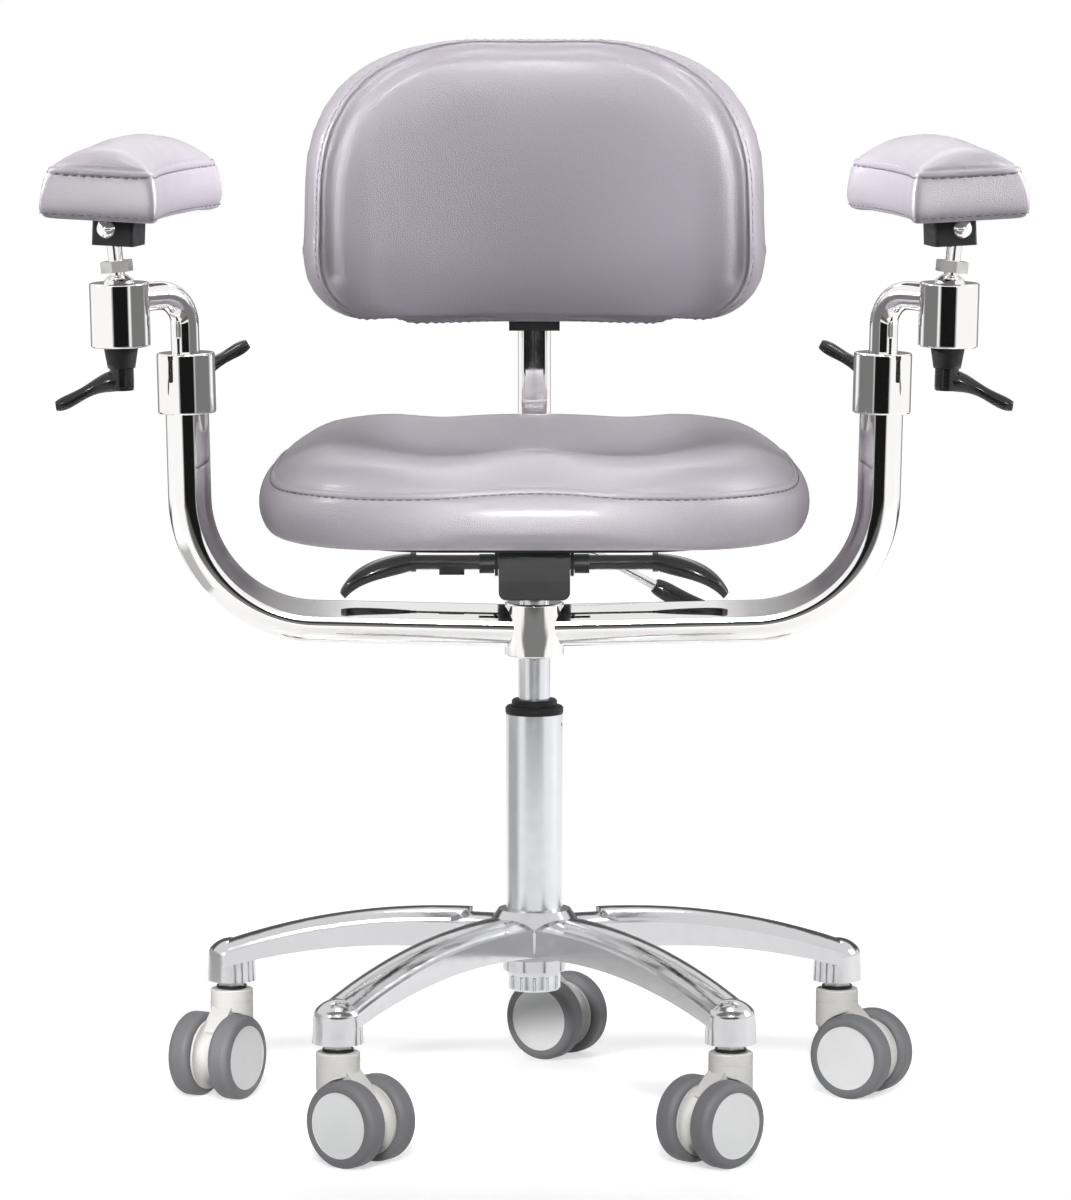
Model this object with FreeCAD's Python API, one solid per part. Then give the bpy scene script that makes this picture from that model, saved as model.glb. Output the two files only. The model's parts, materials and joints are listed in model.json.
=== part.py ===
import FreeCAD, Part
import math
import os

# Laboratory chair on casters with swinging arm rests.
# Millimetres. The origin is on the floor under the lift column, +Z is up and
# the sitter faces -Y, so -X is the left of someone who stands in front of it.

V = FreeCAD.Vector
UP = V(0, 0, 1)
ACROSS = V(1, 0, 0)
BACKWARD = V(0, 1, 0)
ORIGIN = V(0, 0, 0)

# Fits and clearances
RUN_GAP = 0.06
PASS_GAP = 0.4
ROCK_GAP = 0.7

# Casters
WHEEL_DIAMETER = 75.0
TYRE_WIDTH = 21.0
TYRE_SHOULDER = 6.0
DISC_DIAMETER = 57.0
DISC_BULGE = 0.8
DISC_WALL = 4.0
WHEEL_HUB_DIAMETER = 18.0
CASTER_WIDTH = 62.0
CASTER_TRAIL = 25.0
CASTER_HEIGHT = 102.0
AXLE_DIAMETER = 8.0
HEAD_DIAMETER = 38.0
HEAD_HEIGHT = 34.0
HEAD_GROOVE_DROP = 11.0
HEAD_GROOVE = 1.2
SHIELD_DIAMETER = 62.0
WAIST_DIAMETER = 44.0
WHEEL_ARCH_GAP = 1.6
PIVOT_DIAMETER = 12.0
PIVOT_LENGTH = 26.0
STEM_DIAMETER = 11.0
STEM_LENGTH = 20.0
HEX_ACROSS = 22.0
HEX_HEIGHT = 4.5
DUST_RING_DIAMETER = 27.0
DUST_RING_HEIGHT = 2.5
# Name, direction of the base arm and heading of the trail, in degrees from +X
CASTERS = (
    ("rear", 90.0, -33.6),
    ("left", 162.0, -119.0),
    ("front_left", 234.0, -37.8),
    ("front_right", 306.0, -135.8),
    ("right", 18.0, -30.0),
)

# Star base
STEM_CIRCLE_DIAMETER = 569.0
HUB_TOP = 181.0
HUB_BOTTOM = 127.0
HUB_DIAMETER = 86.0
HUB_NECK_DIAMETER = 64.0
HUB_SHOULDER = 16.0
HUB_RING_DIAMETER = 56.0
HUB_RING_HEIGHT = 10.0
ARM_ROOT_DROP = 1.5
ARM_FLAT_LENGTH = 60.0
ARM_TOP_RADIUS = 655.0
ARM_ROOT_HEIGHT = 38.0
ARM_END_HEIGHT = 24.0
ARM_ROOT_WIDTH = 54.0
ARM_END_WIDTH = 43.0
ARM_NARROW_LENGTH = 150.0
ARM_LEDGE = 2.4
ARM_LEDGE_DROP = 12.0
ARM_CORE_DROP = 5.0
ARM_CROWN = 8.0
ARM_WALL = 4.5
STRIP_START = 58.0
STRIP_LEAN = 1.2
NOSE_FOOT_DIAMETER = 44.0
NOSE_DIAMETER = 42.0
NOSE_SHOULDER_DROP = 15.0
NOSE_COVER = 0.3

# Lift column
COLUMN_DIAMETER = 50.0
COLUMN_WALL = 2.0
COLUMN_TAPER = 0.8
LIFT_SHOWN = 51.0
COLUMN_BOTTOM = 109.0
COLUMN_FLOOR = 12.0
CRIMP_DIAMETER = 46.0
CRIMP_FLUTES = 12
CRIMP_FLUTE_DIAMETER = 2.6
VENT_DIAMETER = 3.0
VENT_DROP = 9.0
VENT_HEADING = -16.0
BUSH_RIM_DIAMETER = 51.0
BUSH_RIM_HEIGHT = 7.0
WIPER_DIAMETER = 40.0
WIPER_HEIGHT = 6.0
BUSH_LENGTH = 64.0
LIFT_DIAMETER = 28.0
LIFT_BORE = 24.0
LIFT_BOTTOM = 190.0
LIFT_GUIDE = 10.0
ROD_DIAMETER = 10.0
PISTON_BASE = 315.0
PISTON_LENGTH = 12.0
BEARING_DIAMETER = 32.0
WASHER = 2.0
CAGE_HEIGHT = 4.0
ROD_FLANGE = 3.0
CLIP_DIAMETER = 18.0
CLIP_THICKNESS = 1.5

# Seat mechanism
MECH_WIDTH = 62.0
MECH_SPLIT = 480.0
TRAY_HEIGHT = 17.0
HOUSING_HEIGHT = 26.0
MECH_FRONT = -78.0
MECH_TRAY_BACK = 46.0
MECH_BACK = 84.0
MECH_WALL = 3.0
TRAY_WALL = 2.2
TRAY_ROUND = 7.0
TAPER_LENGTH = 27.0
TAPER_RISE = 17.0
TAPER_DROP = 0.8
TAPER_SOCKET_DIAMETER = 40.0
PIN_DIAMETER = 10.0
PIN_CAP_DIAMETER = 17.0
PIN_CAP_LENGTH = 13.0
SEAT_PIN_Y = -58.0
SEAT_PIN_DROP = 13.0
BACK_PIN_Y = 64.0
BACK_PIN_DROP = 17.0
RELEASE_PIN_DIAMETER = 8.0
RELEASE_PIN_HEIGHT = 5.0

# Levers under the seat
LEVER_Y = -30.0
LEVER_DROP = 15.0
LEVER_SHAFT_DIAMETER = 13.0
LEVER_SHAFT_END = 108.0
LEVER_COLLAR_DIAMETER = 17.0
LEVER_COLLAR_LENGTH = 5.0
LEVER_TIP = 170.0
LEVER_TIP_DROP = 28.0
LEVER_TIP_TUCK = 3.0
# Width and height of a paddle's blade at its root, waist, widest place and end
PADDLE_SIZES = ((20.0, 15.0), (34.0, 16.0), (37.0, 12.0), (28.0, 7.0))
LEVER_BLOCK_END = 83.0
LEVER_BLOCK_LENGTH = 22.0
LEVER_BLOCK_WIDTH = 12.0
LEVER_BLOCK_DROP = 10.5
TILT_ROD_DIAMETER = 8.5
TILT_ROD_Y = 38.0
TILT_ROD_DROP = 14.0
TILT_ROD_BEND_X = 52.0
TILT_ROD_BEND_RADIUS = 16.0
TILT_ROD_SLOPE = 29.0
TILT_ROD_LENGTH = 74.0
TILT_GRIP_DIAMETER = 18.0
TILT_GRIP_LENGTH = 64.0

# Seat
PLATE_WIDTH = 170.0
PLATE_DEPTH = 186.0
PLATE_THICKNESS = 3.0
PLATE_GAP = 3.0
EAR_ROUND = 11.0
PLATE_HOLE_DIAMETER = 9.0
PLATE_HOLE_SPACING = 130.0
BOARD_THICKNESS = 12.0
BOARD_WIDTH = 340.0
BOARD_DEPTH = 300.0
BOARD_CORNER = 90.0
SEAT_WIDTH = 485.0
SEAT_FRONT = -212.0
SEAT_BACK = 226.0
SEAT_EDGE_RISE = 3.0
SEAT_SIDE_LOW = 28.0
SEAT_SIDE_HIGH = 25.0
SEAT_FRONT_ROUNDNESS = 2.7
SEAT_REAR_ROUNDNESS = 3.2
SEAT_EDGE_ROUNDNESS = 14
SEAT_UNDERCUT = 12.0
SEAT_SEAM_INSET = 8.0
SEAT_TROUGH = 0.36
SEAT_CREST = 0.7
# Place in shares of the half depth, then heights over the seam of the rim's
# crest, of the thigh troughs and of the middle line
SEAT_STATIONS = (
    (-0.994, 14.0, 12.0, 13.0),
    (-0.965, 19.0, 17.0, 19.0),
    (-0.87, 25.0, 22.5, 27.5),
    (-0.66, 28.0, 24.0, 31.0),
    (-0.3, 26.0, 16.0, 19.0),
    (0.1, 25.0, 11.0, 10.0),
    (0.5, 29.0, 14.0, 13.0),
    (0.8, 34.0, 29.0, 28.0),
    (0.93, 34.0, 33.0, 32.0),
    (0.98, 28.0, 27.0, 26.0),
    (0.996, 19.0, 18.0, 17.0),
)

# Back rest
STEM_BAR_WIDTH = 30.0
STEM_BAR_THICKNESS = 14.0
STEM_BAR_Y = 252.0
STEM_BAR_TOP = 850.0
STEM_BAR_BEND = 60.0
BRACKET_WIDTH = 40.0
BRACKET_HEIGHT = 22.0
BRACKET_LENGTH = 84.0
BRACKET_LUG = 11.0
SLEEVE_WIDTH = 46.0
SLEEVE_THICKNESS = 30.0
SLEEVE_BOTTOM = 671.0
SLEEVE_LENGTH = 118.0
BACK_BOTTOM = 682.0
BACK_TOP = 939.0
BACK_WIDTH = 420.0
BACK_WRAP = 537.0
BACK_THICKNESS = 58.0
BACK_CROWN = 12.0
BACK_SHOULDER = 46.0
BACK_SIDE_TUCK = 17.0
BACK_SIDE_BULGE = 3.0
BACK_BOARD_THICKNESS = 11.0
BACK_WIDEST = 0.33
BACK_TOP_ROUNDNESS = 3.05
BACK_BOTTOM_ROUNDNESS = 4.5
BACK_TOP_EDGE = 12
BACK_BOTTOM_EDGE = 8
# Levels of the back in shares from its widest line to the bottom and to the top
BACK_LEVELS_BELOW = (0.985, 0.93, 0.8, 0.5)
BACK_LEVELS_ABOVE = (0.0, 0.35, 0.62, 0.8, 0.91, 0.965, 0.992)

# Arm frame
ARM_HUB_DIAMETER = 52.0
ARM_HUB_HEIGHT = 47.5
ARM_HUB_GAP = 10.5
ARM_TUBE_DIAMETER = 38.0
ARM_TUBE_WALL = 2.0
ARM_TUBE_RAISE = 26.0
ARM_TUBE_RISE = 1.3
ARM_TUBE_BEND = 112.0
POST_SPREAD = 608.0
POST_LEAN = 1.35
COLLAR_DIAMETER = 51.0
COLLAR_HEIGHT = 53.0
COLLAR_RISE = 214.5
COLLAR_SEAT = 13.0
EDGE_ROUND = 1.8
CRANK_DIAMETER = 25.0
CRANK_WALL = 2.0
CRANK_RISE = 78.0
CRANK_DROP = 60.0
CRANK_BEND = 27.0
CRANK_REACH = 70.0
CRANK_HEADING = 40.0
PLUG_LENGTH = 14.0
PLUG_SPIGOT = 12.0
SOCKET_DIAMETER = 52.0
SOCKET_BOTTOM = 36.5
SOCKET_TOP = 92.5
BALL_DIAMETER = 32.0
BALL_SHOW = 8.0
CUP_HEIGHT = 20.0
CUP_DROP = 8.0
SCREW_DIAMETER = 8.0
CLAMP_HUB_DIAMETER = 30.0
CLAMP_NECK_DIAMETER = 21.0
CLAMP_HUB_HEIGHT = 18.0
CLAMP_NECK_HEIGHT = 16.0
CLAMP_REACH = 58.0
CLAMP_RISE = 50.0
CLAMP_TIP_DIAMETER = 10.0
COLLAR_LEVER_TILT = 27.0

# Arm pads
STUD_LEAN = 6.0
NUT_BOTTOM = 17.0
NUT_ACROSS = 25.0
NUT_HEIGHT = 10.0
NECK_DIAMETER = 13.0
EYE_DIAMETER = 14.0
EYE_WIDTH = 14.0
BOLT_HEIGHT = 55.5
BOLT_DIAMETER = 8.0
BOLT_HEAD_DIAMETER = 17.5
BOLT_HEAD_HEIGHT = 5.5
BLOCK_SIZE = 38.0
BLOCK_BOTTOM = 41.0
BLOCK_HEIGHT = 31.0
PAD_ROLL_ROOM = 12.5
PAD_YAW = 13.6
PAD_OFFSET = 10.5
PAD_WIDTH = 107.0
PAD_WAIST = 84.0
PAD_LENGTH = 205.0
PAD_BOTTOM = 67.0
PAD_SIDE = 45.0
PAD_CROWN = 26.0
PAD_BULGE = 3.0
PAD_ROLL = 2.2
PAD_EDGE_ROUND = 5.0
# Place along the pad in shares of its half length, share of the crown and of the edge rounding
PAD_STATIONS = (
    (-1.0, 0.3, 1.0),
    (-0.985, 0.4, 0.4),
    (-0.94, 0.55, 0.06),
    (-0.7, 0.84, 0.0),
    (-0.35, 0.97, 0.0),
    (0.0, 1.0, 0.0),
    (0.35, 0.97, 0.0),
    (0.7, 0.84, 0.0),
    (0.94, 0.55, 0.06),
    (0.985, 0.4, 0.4),
    (1.0, 0.3, 1.0),
)

# Heights that follow from the sizes above
HEX_BOTTOM = CASTER_HEIGHT - HEX_HEIGHT
RING_BOTTOM = HEX_BOTTOM - DUST_RING_HEIGHT
HEAD_TOP = RING_BOTTOM - PASS_GAP
HEAD_BOTTOM = HEAD_TOP - HEAD_HEIGHT
PIVOT_BOTTOM = HEX_BOTTOM - PIVOT_LENGTH
AXLE_Z = WHEEL_DIAMETER / 2
STEM_RADIUS = STEM_CIRCLE_DIAMETER / 2
WEB_HALF = CASTER_WIDTH / 2 - TYRE_WIDTH - PASS_GAP
MECH_BOTTOM = MECH_SPLIT - TRAY_HEIGHT
MECH_TOP = MECH_SPLIT + HOUSING_HEIGHT
TAPER_TOP = MECH_SPLIT + TAPER_RISE
TAPER_BOTTOM = TAPER_TOP - TAPER_LENGTH
SEAT_PIN_Z = MECH_TOP - SEAT_PIN_DROP
BACK_PIN_Z = MECH_TOP - BACK_PIN_DROP
LEVER_Z = MECH_TOP - LEVER_DROP
TILT_ROD_Z = MECH_TOP - TILT_ROD_DROP
ARM_HUB_BOTTOM = MECH_BOTTOM - ARM_HUB_GAP - ARM_HUB_HEIGHT
ARM_TUBE_Z = ARM_HUB_BOTTOM + ARM_TUBE_RAISE
COLLAR_Z = ARM_TUBE_Z + COLLAR_RISE
COLUMN_TOP = ARM_HUB_BOTTOM - LIFT_SHOWN
COLUMN_FLOOR_TOP = COLUMN_BOTTOM + COLUMN_FLOOR
BEARING_TOP = COLUMN_FLOOR_TOP + 2 * WASHER + CAGE_HEIGHT
BUSH_TOP = COLUMN_TOP + BUSH_RIM_HEIGHT
PLATE_BOTTOM = MECH_TOP + PLATE_GAP
PLATE_TOP = PLATE_BOTTOM + PLATE_THICKNESS
SEAT_EDGE_BOTTOM = PLATE_TOP + SEAT_EDGE_RISE
SEAT_EDGE_MIDDLE = SEAT_EDGE_BOTTOM + SEAT_SIDE_LOW
SEAT_SEAM = SEAT_EDGE_MIDDLE + SEAT_SIDE_HIGH
EAR_INNER = MECH_WIDTH / 2 + PASS_GAP
EAR_OUTER = EAR_INNER + PLATE_THICKNESS
BALL_LOCAL_Z = SOCKET_TOP + BALL_SHOW - BALL_DIAMETER / 2
CUP_BOTTOM = BALL_LOCAL_Z - CUP_HEIGHT - CUP_DROP
BACK_REAR_Y = STEM_BAR_Y - SLEEVE_THICKNESS / 2 - PASS_GAP
WRAP_CENTRE = V(0, BACK_REAR_Y - BACK_WRAP, 0)


def line(start, end):
    return Part.LineSegment(start, end).toShape()


def arc(start, middle, end):
    return Part.Arc(start, middle, end).toShape()


def arc_middle(start, tangent, end):
    """Middle of the arc that leaves its start along a tangent and meets its end."""
    chord = end - start
    along = V(chord).normalize()
    aside = tangent - along * tangent.dot(along)
    turn = tangent.getAngle(chord)
    return (start + end) * 0.5 + aside.normalize() * (chord.Length / 2 * math.tan(turn / 2))


def s_curve(start, end, tangent):
    """Two arcs that leave the start and reach the end along one direction."""
    half_way = (start + end) * 0.5
    return [
        arc(start, arc_middle(start, tangent, half_way), half_way),
        arc(half_way, arc_middle(end, -tangent, half_way), end),
    ]


def cylinder(diameter, base, length, direction=UP):
    return Part.makeCylinder(diameter / 2, length, base, direction)


def ring(outer, inner, bottom, top):
    """Upright ring about the Z axis."""
    body = cylinder(outer, V(0, 0, bottom), top - bottom)
    return body.cut(cylinder(inner, V(0, 0, bottom), top - bottom))


def box(low, high):
    return Part.makeBox(high.x - low.x, high.y - low.y, high.z - low.z, low)


def turned(profile, centre=ORIGIN):
    """Solid of revolution about a vertical axis from (radius, height) points."""
    points = [centre + V(radius, 0, height) for radius, height in profile]
    face = Part.Face(Part.makePolygon(points + points[:1]))
    return face.revolve(centre, UP, 360)


def prism(points, vector):
    return Part.Face(Part.makePolygon(points + points[:1])).extrude(vector)


def hexagon(across, base, height):
    """Upright hexagonal prism given by its width across flats."""
    corner = across / math.sqrt(3)
    points = []
    for step in range(6):
        angle = math.radians(60 * step + 30)
        points.append(base + V(corner * math.cos(angle), corner * math.sin(angle), 0))
    return prism(points, V(0, 0, height))


def rounded_bar(diameter, base, length, rounding):
    """Upright cylinder with both rims rounded off."""
    body = cylinder(diameter, base, length)
    rims = [edge for edge in body.Edges if edge.isClosed() and edge.Length > diameter]
    return body.makeFillet(rounding, rims)


def rounded_path(points, radius):
    """Straight runs joined by tangent arcs of one radius."""
    edges = []
    start = points[0]
    for before, corner, after in zip(points, points[1:], points[2:]):
        back = (before - corner).normalize()
        ahead = (after - corner).normalize()
        half_angle = back.getAngle(ahead) / 2
        reach = radius / math.tan(half_angle)
        inward = (back + ahead).normalize()
        middle = corner + inward * (radius / math.sin(half_angle) - radius)
        edges.append(line(start, corner + back * reach))
        edges.append(arc(corner + back * reach, middle, corner + ahead * reach))
        start = corner + ahead * reach
    edges.append(line(start, points[-1]))
    return Part.Wire(edges)


def swept(path, profile):
    return path.makePipeShell([profile], True, True)


def round_rod(points, bend, diameter):
    path = rounded_path(points, bend)
    profile = Part.Wire(Part.makeCircle(diameter / 2, points[0], points[1] - points[0]))
    return swept(path, profile)


def bent_tube(points, bend, diameter, wall):
    bore = round_rod(points, bend, diameter - 2 * wall)
    return round_rod(points, bend, diameter).cut(bore)


def oval_wire(centre, width_axis, width, thin_axis, thickness):
    """Flat oval: two straight sides joined by half rounds, each made of two arcs."""
    round_half = thickness / 2
    side = width / 2 - round_half
    slant = round_half / math.sqrt(2)

    def at(wide, thin):
        return centre + width_axis * wide + thin_axis * thin

    return Part.Wire([
        line(at(-side, -round_half), at(side, -round_half)),
        arc(at(side, -round_half), at(side + slant, -slant), at(side + round_half, 0)),
        arc(at(side + round_half, 0), at(side + slant, slant), at(side, round_half)),
        line(at(side, round_half), at(-side, round_half)),
        arc(at(-side, round_half), at(-side - slant, slant), at(-side - round_half, 0)),
        arc(at(-side - round_half, 0), at(-side - slant, -slant), at(-side, -round_half)),
    ])


def rounded_slab(width, depth, corner, bottom, thickness, middle_y):
    """Flat board with round corners, centred on X."""
    low_y = middle_y - depth / 2
    body = box(V(-width / 2, low_y, bottom), V(width / 2, low_y + depth, bottom + thickness))
    corners = [edge for edge in body.Edges if abs(edge.Length - thickness) < 1e-6]
    upright = [edge for edge in corners if abs(edge.tangentAt(0).z) > 0.9]
    return body.makeFillet(corner, upright)


def spun(shape, degrees, place=ORIGIN):
    """Copy turned about Z and then moved."""
    copy = shape.copy()
    copy.rotate(ORIGIN, UP, degrees)
    copy.translate(place)
    return copy


def mirrored(shape):
    return shape.mirror(ORIGIN, ACROSS)


def polar(radius, degrees, height=0.0):
    angle = math.radians(degrees)
    return V(radius * math.cos(angle), radius * math.sin(angle), height)


# Casters, drawn with the stem on Z and the wheels trailing along +X

def caster_stem():
    pivot = cylinder(PIVOT_DIAMETER, V(0, 0, PIVOT_BOTTOM), PIVOT_LENGTH)
    neck = hexagon(HEX_ACROSS, V(0, 0, HEX_BOTTOM), HEX_HEIGHT)
    spigot = cylinder(STEM_DIAMETER, V(0, 0, CASTER_HEIGHT), STEM_LENGTH)
    return pivot.fuse([neck, spigot])


def dust_ring():
    return ring(DUST_RING_DIAMETER, PIVOT_DIAMETER, RING_BOTTOM, HEX_BOTTOM)


def caster_spool(axle):
    """Shields beside the wheels, drawn in to a waist between them."""
    shield = SHIELD_DIAMETER / 2
    lip = 2.0
    edge = WEB_HALF - lip
    right_rim = axle + V(0, edge, shield)
    left_rim = axle + V(0, -edge, shield)
    face = Part.Face(Part.Wire([
        line(axle + V(0, -WEB_HALF, 0), axle + V(0, WEB_HALF, 0)),
        line(axle + V(0, WEB_HALF, 0), axle + V(0, WEB_HALF, shield)),
        line(axle + V(0, WEB_HALF, shield), right_rim),
        arc(right_rim, axle + V(0, 0, WAIST_DIAMETER / 2), left_rim),
        line(left_rim, axle + V(0, -WEB_HALF, shield)),
        line(axle + V(0, -WEB_HALF, shield), axle + V(0, -WEB_HALF, 0)),
    ]))
    return face.revolve(axle, BACKWARD, 360)


def caster_housing():
    axle = V(CASTER_TRAIL, 0, AXLE_Z)
    head_radius = HEAD_DIAMETER / 2
    head = rounded_bar(HEAD_DIAMETER, V(0, 0, HEAD_BOTTOM), HEAD_HEIGHT, EDGE_ROUND)
    groove_z = HEAD_TOP - HEAD_GROOVE_DROP
    groove = ring(HEAD_DIAMETER + 2 * HEAD_GROOVE, HEAD_DIAMETER - HEAD_GROOVE,
                  groove_z, groove_z + HEAD_GROOVE)
    neck = prism([
        V(-head_radius * 0.8, -WEB_HALF, HEAD_BOTTOM + EDGE_ROUND),
        V(-head_radius * 0.6, -WEB_HALF, AXLE_Z + head_radius * 0.7),
        V(CASTER_TRAIL - SHIELD_DIAMETER * 0.35, -WEB_HALF, AXLE_Z),
        V(CASTER_TRAIL, -WEB_HALF, AXLE_Z),
        V(CASTER_TRAIL + SHIELD_DIAMETER * 0.2, -WEB_HALF, AXLE_Z + SHIELD_DIAMETER * 0.36),
        V(head_radius * 0.9, -WEB_HALF, HEAD_BOTTOM + head_radius),
    ], V(0, 2 * WEB_HALF, 0))
    body = head.cut(groove).fuse([neck, caster_spool(axle)])
    arch = WHEEL_DIAMETER + 2 * WHEEL_ARCH_GAP
    for side in (-1, 1):
        start = axle + V(0, side * WEB_HALF, 0)
        body = body.cut(cylinder(arch, start, CASTER_WIDTH, V(0, side, 0)))
    pivot_bore = cylinder(PIVOT_DIAMETER + 2 * RUN_GAP, V(0, 0, PIVOT_BOTTOM - PASS_GAP), HEAD_TOP)
    axle_bore = cylinder(AXLE_DIAMETER, axle + V(0, -CASTER_WIDTH, 0), 2 * CASTER_WIDTH, BACKWARD)
    half_axle = CASTER_WIDTH / 2 - DISC_WALL - PASS_GAP
    axle_pin = cylinder(AXLE_DIAMETER, axle - V(0, half_axle, 0), 2 * half_axle, BACKWARD)
    return [body.cut([pivot_bore, axle_bore]), axle_pin]


def caster_wheel(side):
    """Tyre and disc of one wheel, its outer face on the given side of the housing."""
    half = TYRE_WIDTH / 2
    radius = WHEEL_DIAMETER / 2
    rim = DISC_DIAMETER / 2
    corner = radius - TYRE_SHOULDER
    slant = TYRE_SHOULDER * (1 - math.sqrt(0.5))
    centre = V(CASTER_TRAIL, side * (CASTER_WIDTH / 2 - half), AXLE_Z)

    def at(out, height):
        return centre + V(0, side * out, height)

    tyre = Part.Face(Part.Wire([
        line(at(-half, rim), at(-half, corner)),
        arc(at(-half, corner), at(slant - half, radius - slant), at(TYRE_SHOULDER - half, radius)),
        line(at(TYRE_SHOULDER - half, radius), at(half - TYRE_SHOULDER, radius)),
        arc(at(half - TYRE_SHOULDER, radius), at(half - slant, radius - slant), at(half, corner)),
        line(at(half, corner), at(half, rim)),
        line(at(half, rim), at(-half, rim)),
    ])).revolve(centre, BACKWARD, 360)
    bore = AXLE_DIAMETER / 2 + RUN_GAP
    hub = WHEEL_HUB_DIAMETER / 2
    face_edge = half - DISC_BULGE
    inner = half - DISC_WALL
    bulge = Part.Arc(at(half, 0), at(half - DISC_BULGE / 4, rim / 2), at(face_edge, rim))
    disc = Part.Face(Part.Wire([
        bulge.toShape(),
        line(at(face_edge, rim), at(-half, rim)),
        line(at(-half, rim), at(-half, rim - DISC_WALL)),
        line(at(-half, rim - DISC_WALL), at(inner - DISC_WALL / 4, rim - DISC_WALL)),
        line(at(inner - DISC_WALL / 4, rim - DISC_WALL), at(inner - DISC_WALL / 4, hub)),
        line(at(inner - DISC_WALL / 4, hub), at(-half, hub)),
        line(at(-half, hub), at(-half, bore)),
        line(at(-half, bore), at(inner, bore)),
        line(at(inner, bore), at(inner, 0)),
        line(at(inner, 0), at(half, 0)),
    ])).revolve(centre, BACKWARD, 360)
    return [tyre, disc]


# Star base, one arm drawn along +X

def arm_top(radius):
    run = max(radius - ARM_FLAT_LENGTH, 0.0)
    return HUB_TOP - ARM_ROOT_DROP - ARM_TOP_RADIUS + math.sqrt(ARM_TOP_RADIUS ** 2 - run ** 2)


def arm_share(radius, length):
    return min(radius / length, 1.0)


def arm_height(radius):
    share = arm_share(radius, STEM_RADIUS)
    return ARM_ROOT_HEIGHT + (ARM_END_HEIGHT - ARM_ROOT_HEIGHT) * share


def arm_half_width(radius):
    share = arm_share(radius, ARM_NARROW_LENGTH)
    eased = share * (2 - share)
    return (ARM_ROOT_WIDTH + (ARM_END_WIDTH - ARM_ROOT_WIDTH) * eased) / 2


def crowned_section(radius, flank, crown_top):
    """Upright section across the arm from its right half and the top of its crown."""
    right = [V(radius, across, height) for across, height in flank]
    left = [V(radius, -across, height) for across, height in reversed(flank)]
    edges = [line(a, b) for a, b in zip(right, right[1:])]
    edges.append(arc(right[-1], V(radius, 0, crown_top), left[0]))
    edges += [line(a, b) for a, b in zip(left, left[1:])]
    edges.append(line(left[-1], right[0]))
    return Part.Wire(edges)


def core_section(radius):
    """Flanks of the arm up to the ledge, with a low crown under the strip."""
    top = arm_top(radius)
    half = arm_half_width(radius)
    flank = [(half, top - arm_height(radius)), (half - 0.8, top - ARM_LEDGE_DROP)]
    return crowned_section(radius, flank, top - ARM_CORE_DROP)


def strip_section(radius):
    """Crowned strip along the arm's back, set in from the flanks by a ledge."""
    top = arm_top(radius)
    half = arm_half_width(radius) - ARM_LEDGE
    flank = [(half, top - ARM_LEDGE_DROP - 1), (half - STRIP_LEAN, top - ARM_CROWN)]
    return crowned_section(radius, flank, top)


def hollow_section(radius):
    """Open space under the arm, a wall smaller than the arm all round."""
    top = arm_top(radius)
    wide = arm_half_width(radius) - ARM_WALL
    flank = [(wide, top - arm_height(radius) - 1), (wide - ARM_LEDGE, top - ARM_LEDGE_DROP - ARM_WALL)]
    return crowned_section(radius, flank, top - ARM_CORE_DROP - ARM_WALL)


def arm_loft(section, start, end, steps):
    stations = [start + (end - start) * step / steps for step in range(steps + 1)]
    return Part.makeLoft([section(radius) for radius in stations], True)


def strip_plan():
    """Upright space of the strip, with a round end towards the hub."""
    end_round = arm_half_width(STRIP_START) - ARM_LEDGE
    middle = STRIP_START + end_round
    bottom = HUB_BOTTOM - ARM_END_HEIGHT
    run = box(V(middle, -ARM_ROOT_WIDTH, bottom), V(2 * STEM_RADIUS, ARM_ROOT_WIDTH, 2 * HUB_TOP))
    return run.fuse(cylinder(2 * end_round, V(middle, 0, bottom), 2 * HUB_TOP - bottom))


def arm_nose():
    """Round nose of the arm, drawn down to the boss that holds the caster's stem."""
    top = arm_top(STEM_RADIUS)
    crown_half = arm_half_width(STEM_RADIUS) - ARM_LEDGE - STRIP_LEAN + NOSE_COVER
    crown_radius = (crown_half ** 2 + ARM_CROWN ** 2) / (2 * ARM_CROWN)
    half_angle = math.asin(crown_half / crown_radius) / 2
    between = crown_radius * math.sin(half_angle), crown_radius * (1 - math.cos(half_angle))
    peak = top + NOSE_COVER

    def at(radius, height):
        return V(STEM_RADIUS + radius, 0, height)

    corner = at(crown_half, peak - ARM_CROWN)
    shoulder = at(NOSE_DIAMETER / 2, top - NOSE_SHOULDER_DROP)
    foot = at(NOSE_FOOT_DIAMETER / 2, CASTER_HEIGHT)
    steep = V(0, 0, 1)
    face = Part.Face(Part.Wire([
        line(at(0, CASTER_HEIGHT), foot),
        line(foot, shoulder),
        arc(shoulder, arc_middle(shoulder, steep, corner), corner),
        arc(corner, at(between[0], peak - between[1]), at(0, peak)),
        line(at(0, peak), at(0, CASTER_HEIGHT)),
    ]))
    return face.revolve(at(0, 0), UP, 360)


def base_arm():
    core = arm_loft(core_section, COLUMN_DIAMETER / 2 - 5.0, STEM_RADIUS, 5)
    strip = arm_loft(strip_section, STRIP_START - 5.0, STEM_RADIUS, 5).common(strip_plan())
    return core.fuse([strip, arm_nose()])


def base_arm_hollow():
    start = HUB_DIAMETER / 2 + ARM_WALL
    end = STEM_RADIUS - NOSE_FOOT_DIAMETER / 2 - ARM_WALL
    return arm_loft(hollow_section, start, end, 3)


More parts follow.
